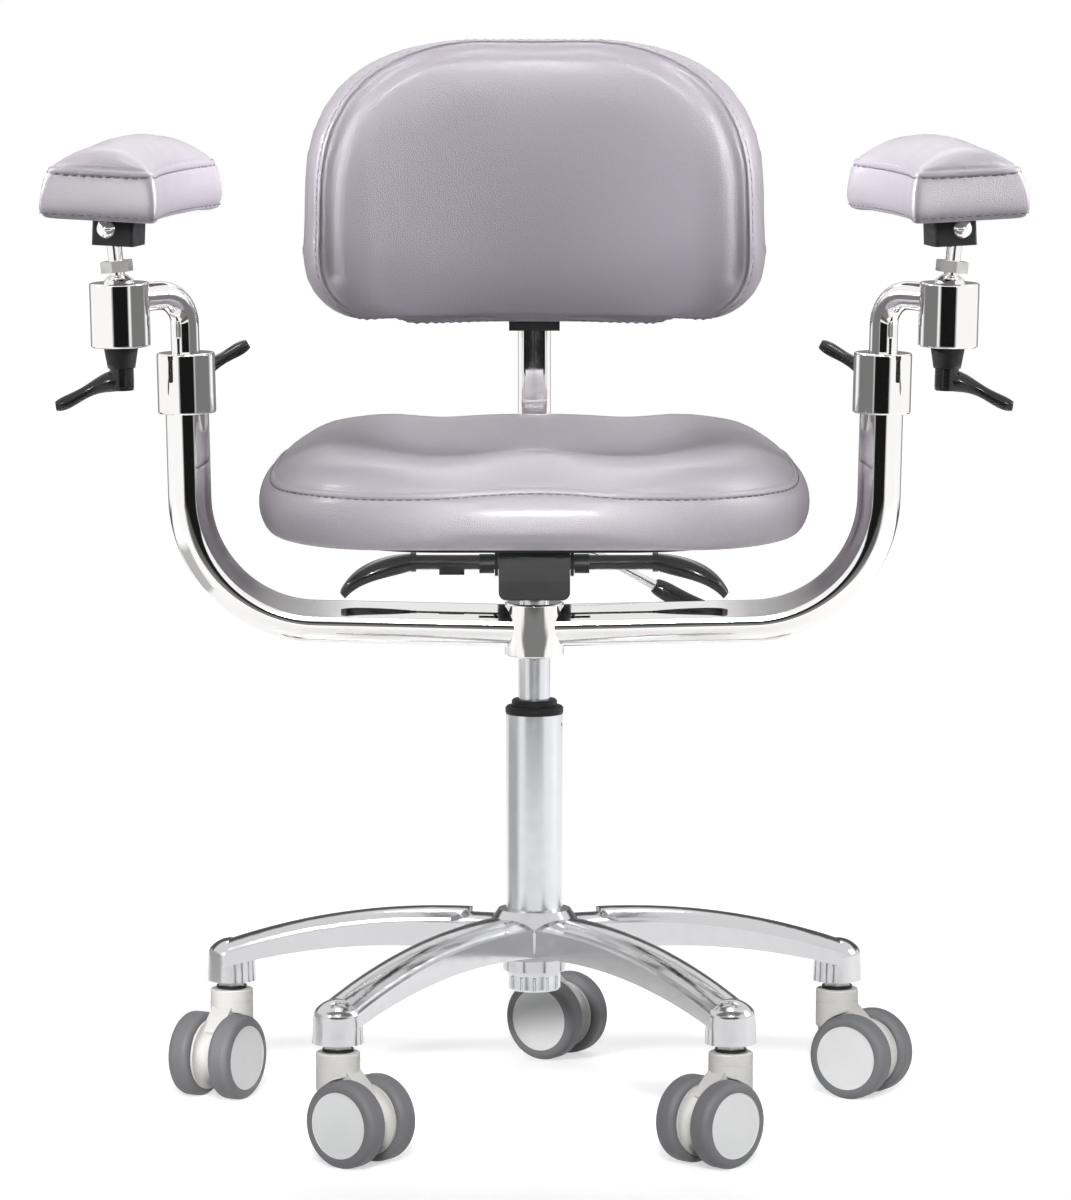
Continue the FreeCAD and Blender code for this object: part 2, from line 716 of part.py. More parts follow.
def star_base():
    hub = turned([
        (0, HUB_BOTTOM),
        (HUB_RING_DIAMETER / 2, HUB_BOTTOM),
        (HUB_RING_DIAMETER / 2, HUB_BOTTOM + HUB_RING_HEIGHT),
        (HUB_DIAMETER / 2 - 3, HUB_BOTTOM + 1.6 * HUB_RING_HEIGHT),
        (HUB_DIAMETER / 2, HUB_BOTTOM + 2.1 * HUB_RING_HEIGHT),
        (HUB_DIAMETER / 2, HUB_TOP - HUB_SHOULDER),
        (HUB_NECK_DIAMETER / 2, HUB_TOP),
        (0, HUB_TOP),
    ])
    headings = [heading for name, heading, trail in CASTERS]
    body = hub.fuse([spun(base_arm(), heading) for heading in headings])
    cuts = [spun(base_arm_hollow(), heading) for heading in headings]
    for heading in headings:
        cuts.append(cylinder(STEM_DIAMETER, polar(STEM_RADIUS, heading, CASTER_HEIGHT), STEM_LENGTH))
    taper_height = HUB_TOP - HUB_BOTTOM
    cuts.append(Part.makeCone(COLUMN_DIAMETER / 2 - COLUMN_TAPER, COLUMN_DIAMETER / 2,
                              taper_height, V(0, 0, HUB_BOTTOM)))
    return body.cut(cuts)


# Lift column

def column_tube():
    outer = COLUMN_DIAMETER / 2
    inner = outer - COLUMN_WALL
    crimp = CRIMP_DIAMETER / 2
    rod_hole = ROD_DIAMETER / 2 + RUN_GAP
    body = turned([
        (rod_hole, COLUMN_BOTTOM),
        (crimp - 1.5, COLUMN_BOTTOM),
        (crimp, COLUMN_BOTTOM + 2),
        (crimp, HUB_BOTTOM - 4),
        (outer - COLUMN_TAPER, HUB_BOTTOM),
        (outer, HUB_TOP),
        (outer, COLUMN_TOP),
        (inner, COLUMN_TOP),
        (inner, HUB_TOP),
        (inner - COLUMN_TAPER, COLUMN_FLOOR_TOP),
        (rod_hole, COLUMN_FLOOR_TOP),
    ])
    cuts = []
    for step in range(CRIMP_FLUTES):
        place = polar(crimp, 360.0 * step / CRIMP_FLUTES, COLUMN_BOTTOM - 1)
        cuts.append(cylinder(CRIMP_FLUTE_DIAMETER, place, HUB_BOTTOM - 5 - place.z))
    vent = V(0, 0, COLUMN_TOP - VENT_DROP)
    cuts.append(cylinder(VENT_DIAMETER, vent, COLUMN_DIAMETER, polar(1, VENT_HEADING)))
    return body.cut(cuts)


def column_bush():
    bore = LIFT_DIAMETER / 2 + RUN_GAP
    rim = BUSH_RIM_DIAMETER / 2
    wiper = WIPER_DIAMETER / 2
    inside = COLUMN_DIAMETER / 2 - COLUMN_WALL
    chamfer = 1.5
    return turned([
        (bore, COLUMN_TOP - BUSH_LENGTH),
        (inside, COLUMN_TOP - BUSH_LENGTH),
        (inside, COLUMN_TOP),
        (rim - chamfer / 2, COLUMN_TOP),
        (rim, COLUMN_TOP + chamfer),
        (rim, BUSH_TOP - chamfer),
        (rim - chamfer, BUSH_TOP),
        (wiper, BUSH_TOP),
        (wiper, BUSH_TOP + WIPER_HEIGHT - chamfer),
        (wiper - chamfer, BUSH_TOP + WIPER_HEIGHT),
        (bore, BUSH_TOP + WIPER_HEIGHT),
    ])


def thrust_bearing():
    hole = ROD_DIAMETER + 2 * RUN_GAP
    cage_bottom = COLUMN_FLOOR_TOP + WASHER
    cage_top = cage_bottom + CAGE_HEIGHT
    return [
        ring(BEARING_DIAMETER, hole, COLUMN_FLOOR_TOP, cage_bottom),
        ring(BEARING_DIAMETER - 4, hole + 4, cage_bottom, cage_top),
        ring(BEARING_DIAMETER, hole, cage_top, BEARING_TOP),
    ]


def piston_rod():
    clip_top = COLUMN_BOTTOM - PASS_GAP
    clip_bottom = clip_top - CLIP_THICKNESS
    rod = ROD_DIAMETER / 2
    flange_bottom = BEARING_TOP + RUN_GAP
    piston = LIFT_BORE / 2 - RUN_GAP
    body = turned([
        (0, clip_bottom - 1),
        (rod, clip_bottom - 1),
        (rod, flange_bottom),
        (BEARING_DIAMETER / 2 - 3, flange_bottom),
        (BEARING_DIAMETER / 2 - 3, flange_bottom + ROD_FLANGE),
        (rod, flange_bottom + ROD_FLANGE),
        (rod, PISTON_BASE),
        (piston, PISTON_BASE),
        (piston, PISTON_BASE + PISTON_LENGTH),
        (0, PISTON_BASE + PISTON_LENGTH),
    ])
    return [body, ring(CLIP_DIAMETER, ROD_DIAMETER, clip_bottom, clip_top)]


def gas_cylinder():
    outer = LIFT_DIAMETER / 2
    bore = LIFT_BORE / 2
    rod = ROD_DIAMETER / 2 + RUN_GAP
    pin = RELEASE_PIN_DIAMETER / 2
    top = TAPER_TOP + RELEASE_PIN_HEIGHT
    return turned([
        (rod, LIFT_BOTTOM),
        (outer, LIFT_BOTTOM),
        (outer, TAPER_BOTTOM),
        (outer - TAPER_DROP, TAPER_TOP),
        (pin, TAPER_TOP),
        (pin, top),
        (0, top),
        (0, MECH_BOTTOM),
        (bore, MECH_BOTTOM),
        (bore, LIFT_BOTTOM + LIFT_GUIDE),
        (rod, LIFT_BOTTOM + LIFT_GUIDE),
    ])


# Seat mechanism

def taper_plug():
    """Space of the cylinder's tapered top, straight below the taper."""
    outer = LIFT_DIAMETER / 2
    return turned([
        (0, MECH_BOTTOM - 1),
        (outer, MECH_BOTTOM - 1),
        (outer, TAPER_BOTTOM),
        (outer - TAPER_DROP, TAPER_TOP),
        (outer - TAPER_DROP, MECH_TOP + 1),
        (0, MECH_TOP + 1),
    ])


def mech_cover():
    half = MECH_WIDTH / 2
    depth = MECH_TRAY_BACK - MECH_FRONT
    rounding = TRAY_ROUND

    def tray(inset, top):
        low = MECH_BOTTOM + inset
        edge = half - inset
        slant = rounding * (1 - math.sqrt(0.5))
        y = MECH_FRONT + inset
        wire = Part.Wire([
            line(V(-edge + rounding, y, low), V(edge - rounding, y, low)),
            arc(V(edge - rounding, y, low), V(edge - slant, y, low + slant), V(edge, y, low + rounding)),
            line(V(edge, y, low + rounding), V(edge, y, top)),
            line(V(edge, y, top), V(-edge, y, top)),
            line(V(-edge, y, top), V(-edge, y, low + rounding)),
            arc(V(-edge, y, low + rounding), V(-edge + slant, y, low + slant), V(-edge + rounding, y, low)),
        ])
        return Part.Face(wire).extrude(V(0, depth - 2 * inset, 0))

    shell = tray(0, MECH_SPLIT).cut(tray(TRAY_WALL, MECH_SPLIT + 1))
    return shell.cut(taper_plug())


def mech_housing():
    half = MECH_WIDTH / 2
    walls = box(V(-half, MECH_FRONT, MECH_SPLIT), V(half, MECH_BACK, MECH_TOP))
    inside = box(V(-half + MECH_WALL, MECH_FRONT + MECH_WALL, MECH_SPLIT + MECH_WALL),
                 V(half - MECH_WALL, MECH_BACK + 1, MECH_TOP + 1))
    rear_floor = box(V(-half + MECH_WALL, MECH_TRAY_BACK, MECH_SPLIT - 1),
                     V(half - MECH_WALL, MECH_BACK + 1, MECH_TOP + 1))
    body = walls.cut([inside, rear_floor])
    socket_height = TAPER_TOP + 3 - MECH_SPLIT
    body = body.fuse(cylinder(TAPER_SOCKET_DIAMETER, V(0, 0, MECH_SPLIT), socket_height))
    cuts = [taper_plug()]
    for y, z in ((SEAT_PIN_Y, SEAT_PIN_Z), (BACK_PIN_Y, BACK_PIN_Z)):
        cuts.append(cylinder(PIN_DIAMETER, V(-MECH_WIDTH, y, z), 2 * MECH_WIDTH, ACROSS))
    lever_hole = LEVER_SHAFT_DIAMETER + 2 * ROCK_GAP
    cuts.append(cylinder(lever_hole, V(-MECH_WIDTH, LEVER_Y, LEVER_Z), 2 * MECH_WIDTH, ACROSS))
    rod_hole = TILT_ROD_DIAMETER + 2 * ROCK_GAP
    cuts.append(cylinder(rod_hole, V(half - 2 * MECH_WALL, TILT_ROD_Y, TILT_ROD_Z), MECH_WIDTH, ACROSS))
    return body.cut(cuts)


def pivot_pins():
    cap_start = EAR_OUTER + PASS_GAP
    seat_half = cap_start + PIN_CAP_LENGTH
    seat_pin = cylinder(PIN_DIAMETER, V(-seat_half, SEAT_PIN_Y, SEAT_PIN_Z), 2 * seat_half, ACROSS)
    caps = []
    for side in (-1, 1):
        start = V(side * cap_start, SEAT_PIN_Y, SEAT_PIN_Z)
        caps.append(cylinder(PIN_CAP_DIAMETER, start, PIN_CAP_LENGTH, V(side, 0, 0)))
    back_half = MECH_WIDTH / 2 + 1
    back_pin = cylinder(PIN_DIAMETER, V(-back_half, BACK_PIN_Y, BACK_PIN_Z), 2 * back_half, ACROSS)
    return [seat_pin.fuse(caps), back_pin]


# Levers under the seat, drawn for the right side

def paddle_section(x, z, width, height, tilt):
    """Upright flat oval across the paddle, leaned to follow its drop."""
    angle = math.radians(tilt)
    up = V(math.sin(angle), 0, math.cos(angle))
    return oval_wire(V(x, LEVER_Y, z), BACKWARD, width, up, height)


def paddle_lever():
    start = MECH_WIDTH / 2 - 3 * MECH_WALL
    shaft = cylinder(LEVER_SHAFT_DIAMETER, V(start, LEVER_Y, LEVER_Z), LEVER_SHAFT_END - start, ACROSS)
    collar = cylinder(LEVER_COLLAR_DIAMETER, V(LEVER_SHAFT_END - LEVER_COLLAR_LENGTH, LEVER_Y, LEVER_Z),
                      LEVER_COLLAR_LENGTH, ACROSS)
    reach = LEVER_TIP - LEVER_SHAFT_END
    root, waist, widest, end = PADDLE_SIZES
    blade = Part.makeLoft([
        paddle_section(LEVER_SHAFT_END, LEVER_Z, *root, 0.0),
        paddle_section(LEVER_SHAFT_END + 0.35 * reach, LEVER_Z - 0.16 * LEVER_TIP_DROP, *waist, 18.0),
        paddle_section(LEVER_SHAFT_END + 0.72 * reach, LEVER_Z - 0.5 * LEVER_TIP_DROP, *widest, 30.0),
        paddle_section(LEVER_TIP - LEVER_TIP_TUCK, LEVER_Z - LEVER_TIP_DROP, *end, 40.0),
    ], True)
    return shaft.fuse([collar, blade])


def height_lever():
    """Paddle on the left, with the stop block of the release under its shaft."""
    block = box(V(-LEVER_BLOCK_END, LEVER_Y - LEVER_BLOCK_WIDTH / 2, LEVER_Z - LEVER_BLOCK_DROP),
                V(LEVER_BLOCK_LENGTH - LEVER_BLOCK_END, LEVER_Y + LEVER_BLOCK_WIDTH / 2, LEVER_Z))
    return mirrored(paddle_lever()).fuse(block)


def tilt_rod_points():
    slope = math.radians(TILT_ROD_SLOPE)
    bend = V(TILT_ROD_BEND_X, TILT_ROD_Y, TILT_ROD_Z)
    run = V(math.cos(slope), 0.08, -math.sin(slope)).normalize()
    start = V(MECH_WIDTH / 2 - 3 * MECH_WALL, TILT_ROD_Y, TILT_ROD_Z)
    return start, bend, run


def tilt_rod():
    start, bend, run = tilt_rod_points()
    return round_rod([start, bend, bend + run * TILT_ROD_LENGTH], TILT_ROD_BEND_RADIUS, TILT_ROD_DIAMETER)


def tilt_grip():
    start, bend, run = tilt_rod_points()
    overlap = 12.0
    base = bend + run * (TILT_ROD_LENGTH - overlap)
    shapes = []
    for along, diameter in ((0.0, 0.72), (0.12, 0.9), (0.6, 1.0), (0.94, 0.92), (1.0, 0.7)):
        place = base + run * (TILT_GRIP_LENGTH * along)
        shapes.append(Part.Wire(Part.makeCircle(TILT_GRIP_DIAMETER * diameter / 2, place, run)))
    body = Part.makeLoft(shapes, True)
    return body.cut(cylinder(TILT_ROD_DIAMETER, base - run, overlap + 1, run))


# Seat

def seat_plate():
    half = PLATE_WIDTH / 2
    middle = (MECH_FRONT + MECH_BACK) / 2
    plate = rounded_slab(PLATE_WIDTH, PLATE_DEPTH, 18.0, PLATE_BOTTOM, PLATE_THICKNESS, middle)
    spacing = PLATE_HOLE_SPACING / 2
    for x in (-spacing, spacing):
        for y in (middle - spacing, middle + spacing):
            plate = plate.cut(cylinder(PLATE_HOLE_DIAMETER, V(x, y, PLATE_BOTTOM - 1), 2 * PLATE_THICKNESS))
    for side in (-1, 1):
        inner = V(side * EAR_INNER, SEAT_PIN_Y, SEAT_PIN_Z)
        out = V(side, 0, 0)
        ear = cylinder(2 * EAR_ROUND, inner, PLATE_THICKNESS, out)
        web = prism([
            inner + V(0, -EAR_ROUND, 0),
            inner + V(0, EAR_ROUND, 0),
            V(inner.x, SEAT_PIN_Y + 1.6 * EAR_ROUND, PLATE_BOTTOM + 1),
            V(inner.x, SEAT_PIN_Y - 1.6 * EAR_ROUND, PLATE_BOTTOM + 1),
        ], out * PLATE_THICKNESS)
        plate = plate.fuse([ear, web])
    bore = cylinder(PIN_DIAMETER + 2 * RUN_GAP, V(-half, SEAT_PIN_Y, SEAT_PIN_Z), PLATE_WIDTH, ACROSS)
    return plate.cut(bore)


def seat_board():
    middle = (SEAT_FRONT + SEAT_BACK) / 2
    return rounded_slab(BOARD_WIDTH, BOARD_DEPTH, BOARD_CORNER, PLATE_TOP, BOARD_THICKNESS, middle)


def seat_half_width(share):
    """Half width of the seat at a share, -1 to 1, of its half depth."""
    power = SEAT_FRONT_ROUNDNESS if share < 0 else SEAT_REAR_ROUNDNESS
    return SEAT_WIDTH / 2 * (1 - abs(share) ** power) ** (1 / power)


def seat_section(share, crest_rise, trough_rise, middle_rise):
    """Upright section across the seat: flat below, full sides, troughs on top."""
    centre_y = (SEAT_FRONT + SEAT_BACK) / 2
    y = centre_y + share * (SEAT_BACK - SEAT_FRONT) / 2
    wide = seat_half_width(share)
    fullness = math.sqrt(1 - abs(share) ** SEAT_EDGE_ROUNDNESS)
    bottom = SEAT_EDGE_MIDDLE - (SEAT_EDGE_MIDDLE - SEAT_EDGE_BOTTOM) * fullness
    seam = SEAT_EDGE_MIDDLE + (SEAT_SEAM - SEAT_EDGE_MIDDLE) * fullness

    def at(x, z):
        return V(x, y, z)

    base = at(wide - SEAT_UNDERCUT * fullness, bottom)
    side = at(wide, SEAT_EDGE_MIDDLE)
    edge = at(wide - SEAT_SEAM_INSET * fullness, seam)
    crest = at(SEAT_CREST * wide, seam + crest_rise * fullness)
    trough = at(SEAT_TROUGH * wide, seam + trough_rise * fullness)
    middle = at(0, seam + middle_rise * fullness)

    def flip(point):
        return V(-point.x, point.y, point.z)

    inward = -ACROSS
    top = [arc(edge, arc_middle(crest, ACROSS, edge), crest)]
    top += s_curve(crest, trough, inward)
    top += s_curve(trough, middle, inward)
    top += s_curve(middle, flip(trough), inward)
    top += s_curve(flip(trough), flip(crest), inward)
    top.append(arc(flip(crest), arc_middle(flip(crest), inward, flip(edge)), flip(edge)))
    return Part.Wire(
        [line(flip(base), base), arc(base, side, edge)]
        + top
        + [arc(flip(edge), flip(side), flip(base))])


def seat_cushion():
    form = Part.makeLoft([seat_section(*station) for station in SEAT_STATIONS], True)
    middle = (SEAT_FRONT + SEAT_BACK) / 2
    pocket = rounded_slab(BOARD_WIDTH + 2 * PASS_GAP, BOARD_DEPTH + 2 * PASS_GAP, BOARD_CORNER,
                          PLATE_TOP, BOARD_THICKNESS + PASS_GAP, middle)
    return form.cut(pocket)


# Back rest

def bar_profile(place, thin_axis, allowance=0.0):
    return oval_wire(place, ACROSS, STEM_BAR_WIDTH + 2 * allowance, thin_axis,
                     STEM_BAR_THICKNESS + 2 * allowance)


def back_stem():
    start = V(0, BACK_PIN_Y + BRACKET_LUG + STEM_BAR_THICKNESS / 2, BACK_PIN_Z)
    corner = V(0, STEM_BAR_Y, BACK_PIN_Z)
    top = V(0, STEM_BAR_Y, STEM_BAR_TOP)
    return swept(rounded_path([start, corner, top], STEM_BAR_BEND), bar_profile(start, UP))


def back_bracket():
    half = BRACKET_WIDTH / 2
    pin = V(0, BACK_PIN_Y, BACK_PIN_Z)
    lug = cylinder(2 * BRACKET_LUG, pin - V(half, 0, 0), BRACKET_WIDTH, ACROSS)
    sleeve = box(pin + V(-half, 0, -BRACKET_HEIGHT / 2), pin + V(half, BRACKET_LENGTH, BRACKET_HEIGHT / 2))
    long_edges = [edge for edge in sleeve.Edges if abs(edge.tangentAt(0).y) > 0.9]
    body = lug.fuse(sleeve.makeFillet(3.0, long_edges))
    start = pin + V(0, BRACKET_LUG + STEM_BAR_THICKNESS / 2, 0)
    bore = Part.Face(bar_profile(start, UP)).extrude(V(0, BRACKET_LENGTH, 0))
    pin_bore = cylinder(PIN_DIAMETER + 2 * RUN_GAP, pin - V(half, 0, 0), BRACKET_WIDTH, ACROSS)
    return body.cut([bore, pin_bore])


def back_sleeve():
    half = V(SLEEVE_WIDTH / 2, SLEEVE_THICKNESS / 2, 0)
    low = V(0, STEM_BAR_Y, SLEEVE_BOTTOM)
    body = box(low - half, low + half + V(0, 0, SLEEVE_LENGTH))
    rear_edges = []
    for edge in body.Edges:
        upright = abs(edge.tangentAt(0).z) > 0.9
        if upright and edge.CenterOfMass.y > STEM_BAR_Y:
            rear_edges.append(edge)
    body = body.makeFillet(SLEEVE_THICKNESS / 3, rear_edges)
    bore = Part.Face(bar_profile(low - UP, BACKWARD, PASS_GAP / 2)).extrude(V(0, 0, SLEEVE_LENGTH + 2))
    return body.cut(bore)


def wrap_drop(half_width):
    """How far the wrapped back comes forward at a distance from its middle."""
    return BACK_WRAP - math.sqrt(BACK_WRAP ** 2 - half_width ** 2)


def back_section(share):
    """Level section of the back at a share, -1 to 1, from its widest line to an end.

    The rear follows the wrap, the sides lean in to the front seam and the
    front panel swells between shoulders.
    """
    height = BACK_TOP - BACK_BOTTOM
    widest = BACK_BOTTOM + BACK_WIDEST * height
    if share < 0:
        z = widest + share * (widest - BACK_BOTTOM)
        power = BACK_BOTTOM_ROUNDNESS
        edge_power = BACK_BOTTOM_EDGE
    else:
        z = widest + share * (BACK_TOP - widest)
        power = BACK_TOP_ROUNDNESS
        edge_power = BACK_TOP_EDGE
    half = BACK_WIDTH / 2 * (1 - abs(share) ** power) ** (1 / power)
    fullness = math.sqrt(1 - abs(share) ** edge_power)
    thickness = BACK_THICKNESS * fullness
    rear_y = BACK_REAR_Y - (BACK_THICKNESS - thickness) / 2
    seam_half = half - BACK_SIDE_TUCK * fullness
    rear_corner = V(half, rear_y - wrap_drop(half), z)
    seam_depth = thickness - BACK_CROWN * fullness
    seam = V(seam_half, rear_y - wrap_drop(seam_half) - seam_depth, z)
    side = (rear_corner + seam) * 0.5 + V(BACK_SIDE_BULGE * fullness, 0, 0)
    shoulder_half = seam_half - min(BACK_SHOULDER, 0.6 * seam_half)
    front_radius = BACK_WRAP - thickness
    front_centre = rear_y - BACK_WRAP
    shoulder_y = front_centre + math.sqrt(front_radius ** 2 - shoulder_half ** 2)
    shoulder = V(shoulder_half, shoulder_y, z)
    front = V(0, front_centre + front_radius, z)
    tangent = V(shoulder_y - front_centre, -shoulder_half, 0).normalize()

    def flip(point):
        return V(-point.x, point.y, point.z)

    round_off = arc_middle(shoulder, tangent, seam)
    return Part.Wire([
        arc(flip(rear_corner), V(0, rear_y, z), rear_corner),
        arc(rear_corner, side, seam),
        arc(seam, round_off, shoulder),
        arc(shoulder, front, flip(shoulder)),
        arc(flip(shoulder), flip(round_off), flip(seam)),
        arc(flip(seam), flip(side), flip(rear_corner)),
    ])


def back_form():
    shares = [-share for share in BACK_LEVELS_BELOW] + list(BACK_LEVELS_ABOVE)
    return Part.makeLoft([back_section(share) for share in shares], True)


def wrap_cylinder(radius):
    return cylinder(2 * radius, WRAP_CENTRE + V(0, 0, BACK_BOTTOM - 1), BACK_TOP - BACK_BOTTOM + 2)


def back_cushion():
    return back_form().common(wrap_cylinder(BACK_WRAP - BACK_BOARD_THICKNESS))


def back_board():
    return back_form().cut(wrap_cylinder(BACK_WRAP - BACK_BOARD_THICKNESS + PASS_GAP / 2))


# Arm frame, drawn for the left side and mirrored for the right

def post_frame():
    """Place of the post: origin at the middle of the collar, Z along the post."""
    lean = FreeCAD.Rotation(BACKWARD, -POST_LEAN)
    return FreeCAD.Placement(V(-POST_SPREAD / 2, 0, COLLAR_Z), lean)


def on_post(shape):
    copy = shape.copy()
    copy.Placement = post_frame().multiply(copy.Placement)
    return copy


def arm_tube():
    rise = math.radians(ARM_TUBE_RISE)
    frame = post_frame()
    collar = frame.Base
    along_post = frame.Rotation.multVec(UP)
    start = V(0, 0, ARM_TUBE_Z)
    along_tube = V(-math.cos(rise), 0, math.sin(rise))
    gap = collar - start
    span = (gap.x * along_post.z - gap.z * along_post.x)
    span /= along_tube.x * along_post.z - along_tube.z * along_post.x
    corner = start + along_tube * span
    top = frame.multVec(V(0, 0, -COLLAR_SEAT))
    tube = bent_tube([start, corner, top], ARM_TUBE_BEND, ARM_TUBE_DIAMETER, ARM_TUBE_WALL)
    return tube.cut(cylinder(ARM_HUB_DIAMETER, V(0, 0, 0), 2 * ARM_TUBE_Z))


def arm_hub():
    body = rounded_bar(ARM_HUB_DIAMETER, V(0, 0, ARM_HUB_BOTTOM), ARM_HUB_HEIGHT, EDGE_ROUND)
    return body.cut(cylinder(LIFT_DIAMETER, V(0, 0, ARM_HUB_BOTTOM - 1), ARM_HUB_HEIGHT + 2))


def arm_collar():
    half = COLLAR_HEIGHT / 2
    body = rounded_bar(COLLAR_DIAMETER, V(0, 0, -half), COLLAR_HEIGHT, EDGE_ROUND)
    post_hole = cylinder(ARM_TUBE_DIAMETER, V(0, 0, -half - 1), half + 1 - COLLAR_SEAT)
    crank_hole = cylinder(CRANK_DIAMETER + 2 * RUN_GAP, V(0, 0, -half), COLLAR_HEIGHT + 1)
    screw_hole = cylinder(SCREW_DIAMETER + 2 * RUN_GAP, ORIGIN, COLLAR_DIAMETER, BACKWARD)
    return on_post(body.cut([post_hole, crank_hole, screw_hole]))


def arm_plug():
    top = -CRANK_DROP - RUN_GAP
    guide = cylinder(ARM_TUBE_DIAMETER - 2 * ARM_TUBE_WALL - 2 * RUN_GAP, V(0, 0, top - PLUG_LENGTH), PLUG_LENGTH)
    bore = CRANK_DIAMETER - 2 * CRANK_WALL
    spigot = cylinder(bore - 2 * RUN_GAP, V(0, 0, top), PLUG_SPIGOT)
    return on_post(guide.fuse(spigot))


def socket_place(height):
    heading = math.radians(CRANK_HEADING)
    return V(-CRANK_REACH * math.cos(heading), -CRANK_REACH * math.sin(heading), height)


def arm_crank():
    points = [V(0, 0, -CRANK_DROP), V(0, 0, CRANK_RISE), socket_place(CRANK_RISE)]
    tube = bent_tube(points, CRANK_BEND, CRANK_DIAMETER, CRANK_WALL)
    base = socket_place(SOCKET_BOTTOM)
    height = SOCKET_TOP - SOCKET_BOTTOM
    tube = tube.cut(cylinder(SOCKET_DIAMETER, base, height))
    body = rounded_bar(SOCKET_DIAMETER, base, height, EDGE_ROUND)
    ball = BALL_DIAMETER / 2 + RUN_GAP
    cavity = Part.makeSphere(ball, socket_place(BALL_LOCAL_Z))
    bore = cylinder(2 * ball, socket_place(CUP_BOTTOM), BALL_LOCAL_Z - CUP_BOTTOM)
    screw = cylinder(SCREW_DIAMETER + 2 * RUN_GAP, base, CUP_BOTTOM - SOCKET_BOTTOM)
    return on_post(body.cut([cavity, bore, screw]).fuse(tube))


def ball_cup():
    bottom = socket_place(CUP_BOTTOM + RUN_GAP)
    body = cylinder(BALL_DIAMETER, bottom, CUP_HEIGHT)
    seat = Part.makeSphere(BALL_DIAMETER / 2 + RUN_GAP, socket_place(BALL_LOCAL_Z))
    return on_post(body.cut(seat))


def clamp_lever(screw_length):
    """Clamping lever: cone on Z, arm swept out along +X, screw pointing down."""
    cone = Part.makeCone(CLAMP_HUB_DIAMETER / 2, CLAMP_NECK_DIAMETER / 2 + 1.5, CLAMP_HUB_HEIGHT)
    neck_top = CLAMP_HUB_HEIGHT + CLAMP_NECK_HEIGHT
    neck = cylinder(CLAMP_NECK_DIAMETER, V(0, 0, CLAMP_HUB_HEIGHT), CLAMP_NECK_HEIGHT)
    cap = Part.makeSphere(CLAMP_NECK_DIAMETER / 2, V(0, 0, neck_top)).cut(
        box(V(-CLAMP_REACH, -CLAMP_REACH, -CLAMP_REACH), V(CLAMP_REACH, CLAMP_REACH, neck_top)))
    flat = Part.makeCylinder(CLAMP_NECK_DIAMETER, CLAMP_NECK_DIAMETER, V(0, 0, neck_top + 3.5))
    start_z = CLAMP_HUB_HEIGHT + 0.62 * CLAMP_NECK_HEIGHT
    climb = CLAMP_RISE - start_z
    wires = []
    for along, up, diameter, slope in (
        (0.02, 0.0, 1.75, 12.0),
        (0.35, 0.24, 1.4, 30.0),
        (0.7, 0.68, 1.1, 30.0),
        (0.93, 0.95, 1.08, 14.0),
        (1.0, 1.0, 0.8, 8.0),
    ):
        angle = math.radians(slope)
        place = V(CLAMP_REACH * along, 0, start_z + climb * up)
        heading = V(math.cos(angle), 0, math.sin(angle))
        wires.append(Part.Wire(Part.makeCircle(CLAMP_TIP_DIAMETER * diameter / 2, place, heading)))
    arm = Part.makeLoft(wires, True)
    grip = cone.fuse([neck, cap.cut(flat), arm])
    screw_hole = cylinder(SCREW_DIAMETER, V(0, 0, -1), CLAMP_HUB_HEIGHT / 2 + 1)
    screw = cylinder(SCREW_DIAMETER, V(0, 0, -screw_length), screw_length + CLAMP_HUB_HEIGHT / 2)
    return [grip.cut(screw_hole), screw]


def socket_lever():
    """Lever under the socket, its arm turned outward."""
    screw_length = CUP_BOTTOM - SOCKET_BOTTOM - PASS_GAP
    placed = []
    for piece in clamp_lever(screw_length):
        piece.rotate(ORIGIN, BACKWARD, 180)
        piece.translate(socket_place(SOCKET_BOTTOM - PASS_GAP))
        placed.append(on_post(piece))
    return placed


def collar_lever():
    """Lever behind the collar, its arm turned inward and up."""
    screw_length = COLLAR_DIAMETER / 2 - CRANK_DIAMETER / 2 - PASS_GAP
    placed = []
    for piece in clamp_lever(screw_length):
        piece.rotate(ORIGIN, ACROSS, -90)
        piece.rotate(ORIGIN, BACKWARD, -COLLAR_LEVER_TILT)
        piece.translate(V(0, COLLAR_DIAMETER / 2 + PASS_GAP, 0))
        placed.append(on_post(piece))
    return placed


# Arm pads, drawn about the ball with the pad's length on Y

def pad_frame():
    place = post_frame().multVec(socket_place(BALL_LOCAL_Z))
    return FreeCAD.Placement(place, FreeCAD.Rotation(UP, -PAD_YAW))


def on_ball(shape):
    copy = shape.copy()
    copy.Placement = pad_frame().multiply(copy.Placement)
    return copy


def bolt_place(y=0.0):
    return V(-BOLT_HEIGHT * math.tan(math.radians(STUD_LEAN)), y, BOLT_HEIGHT)


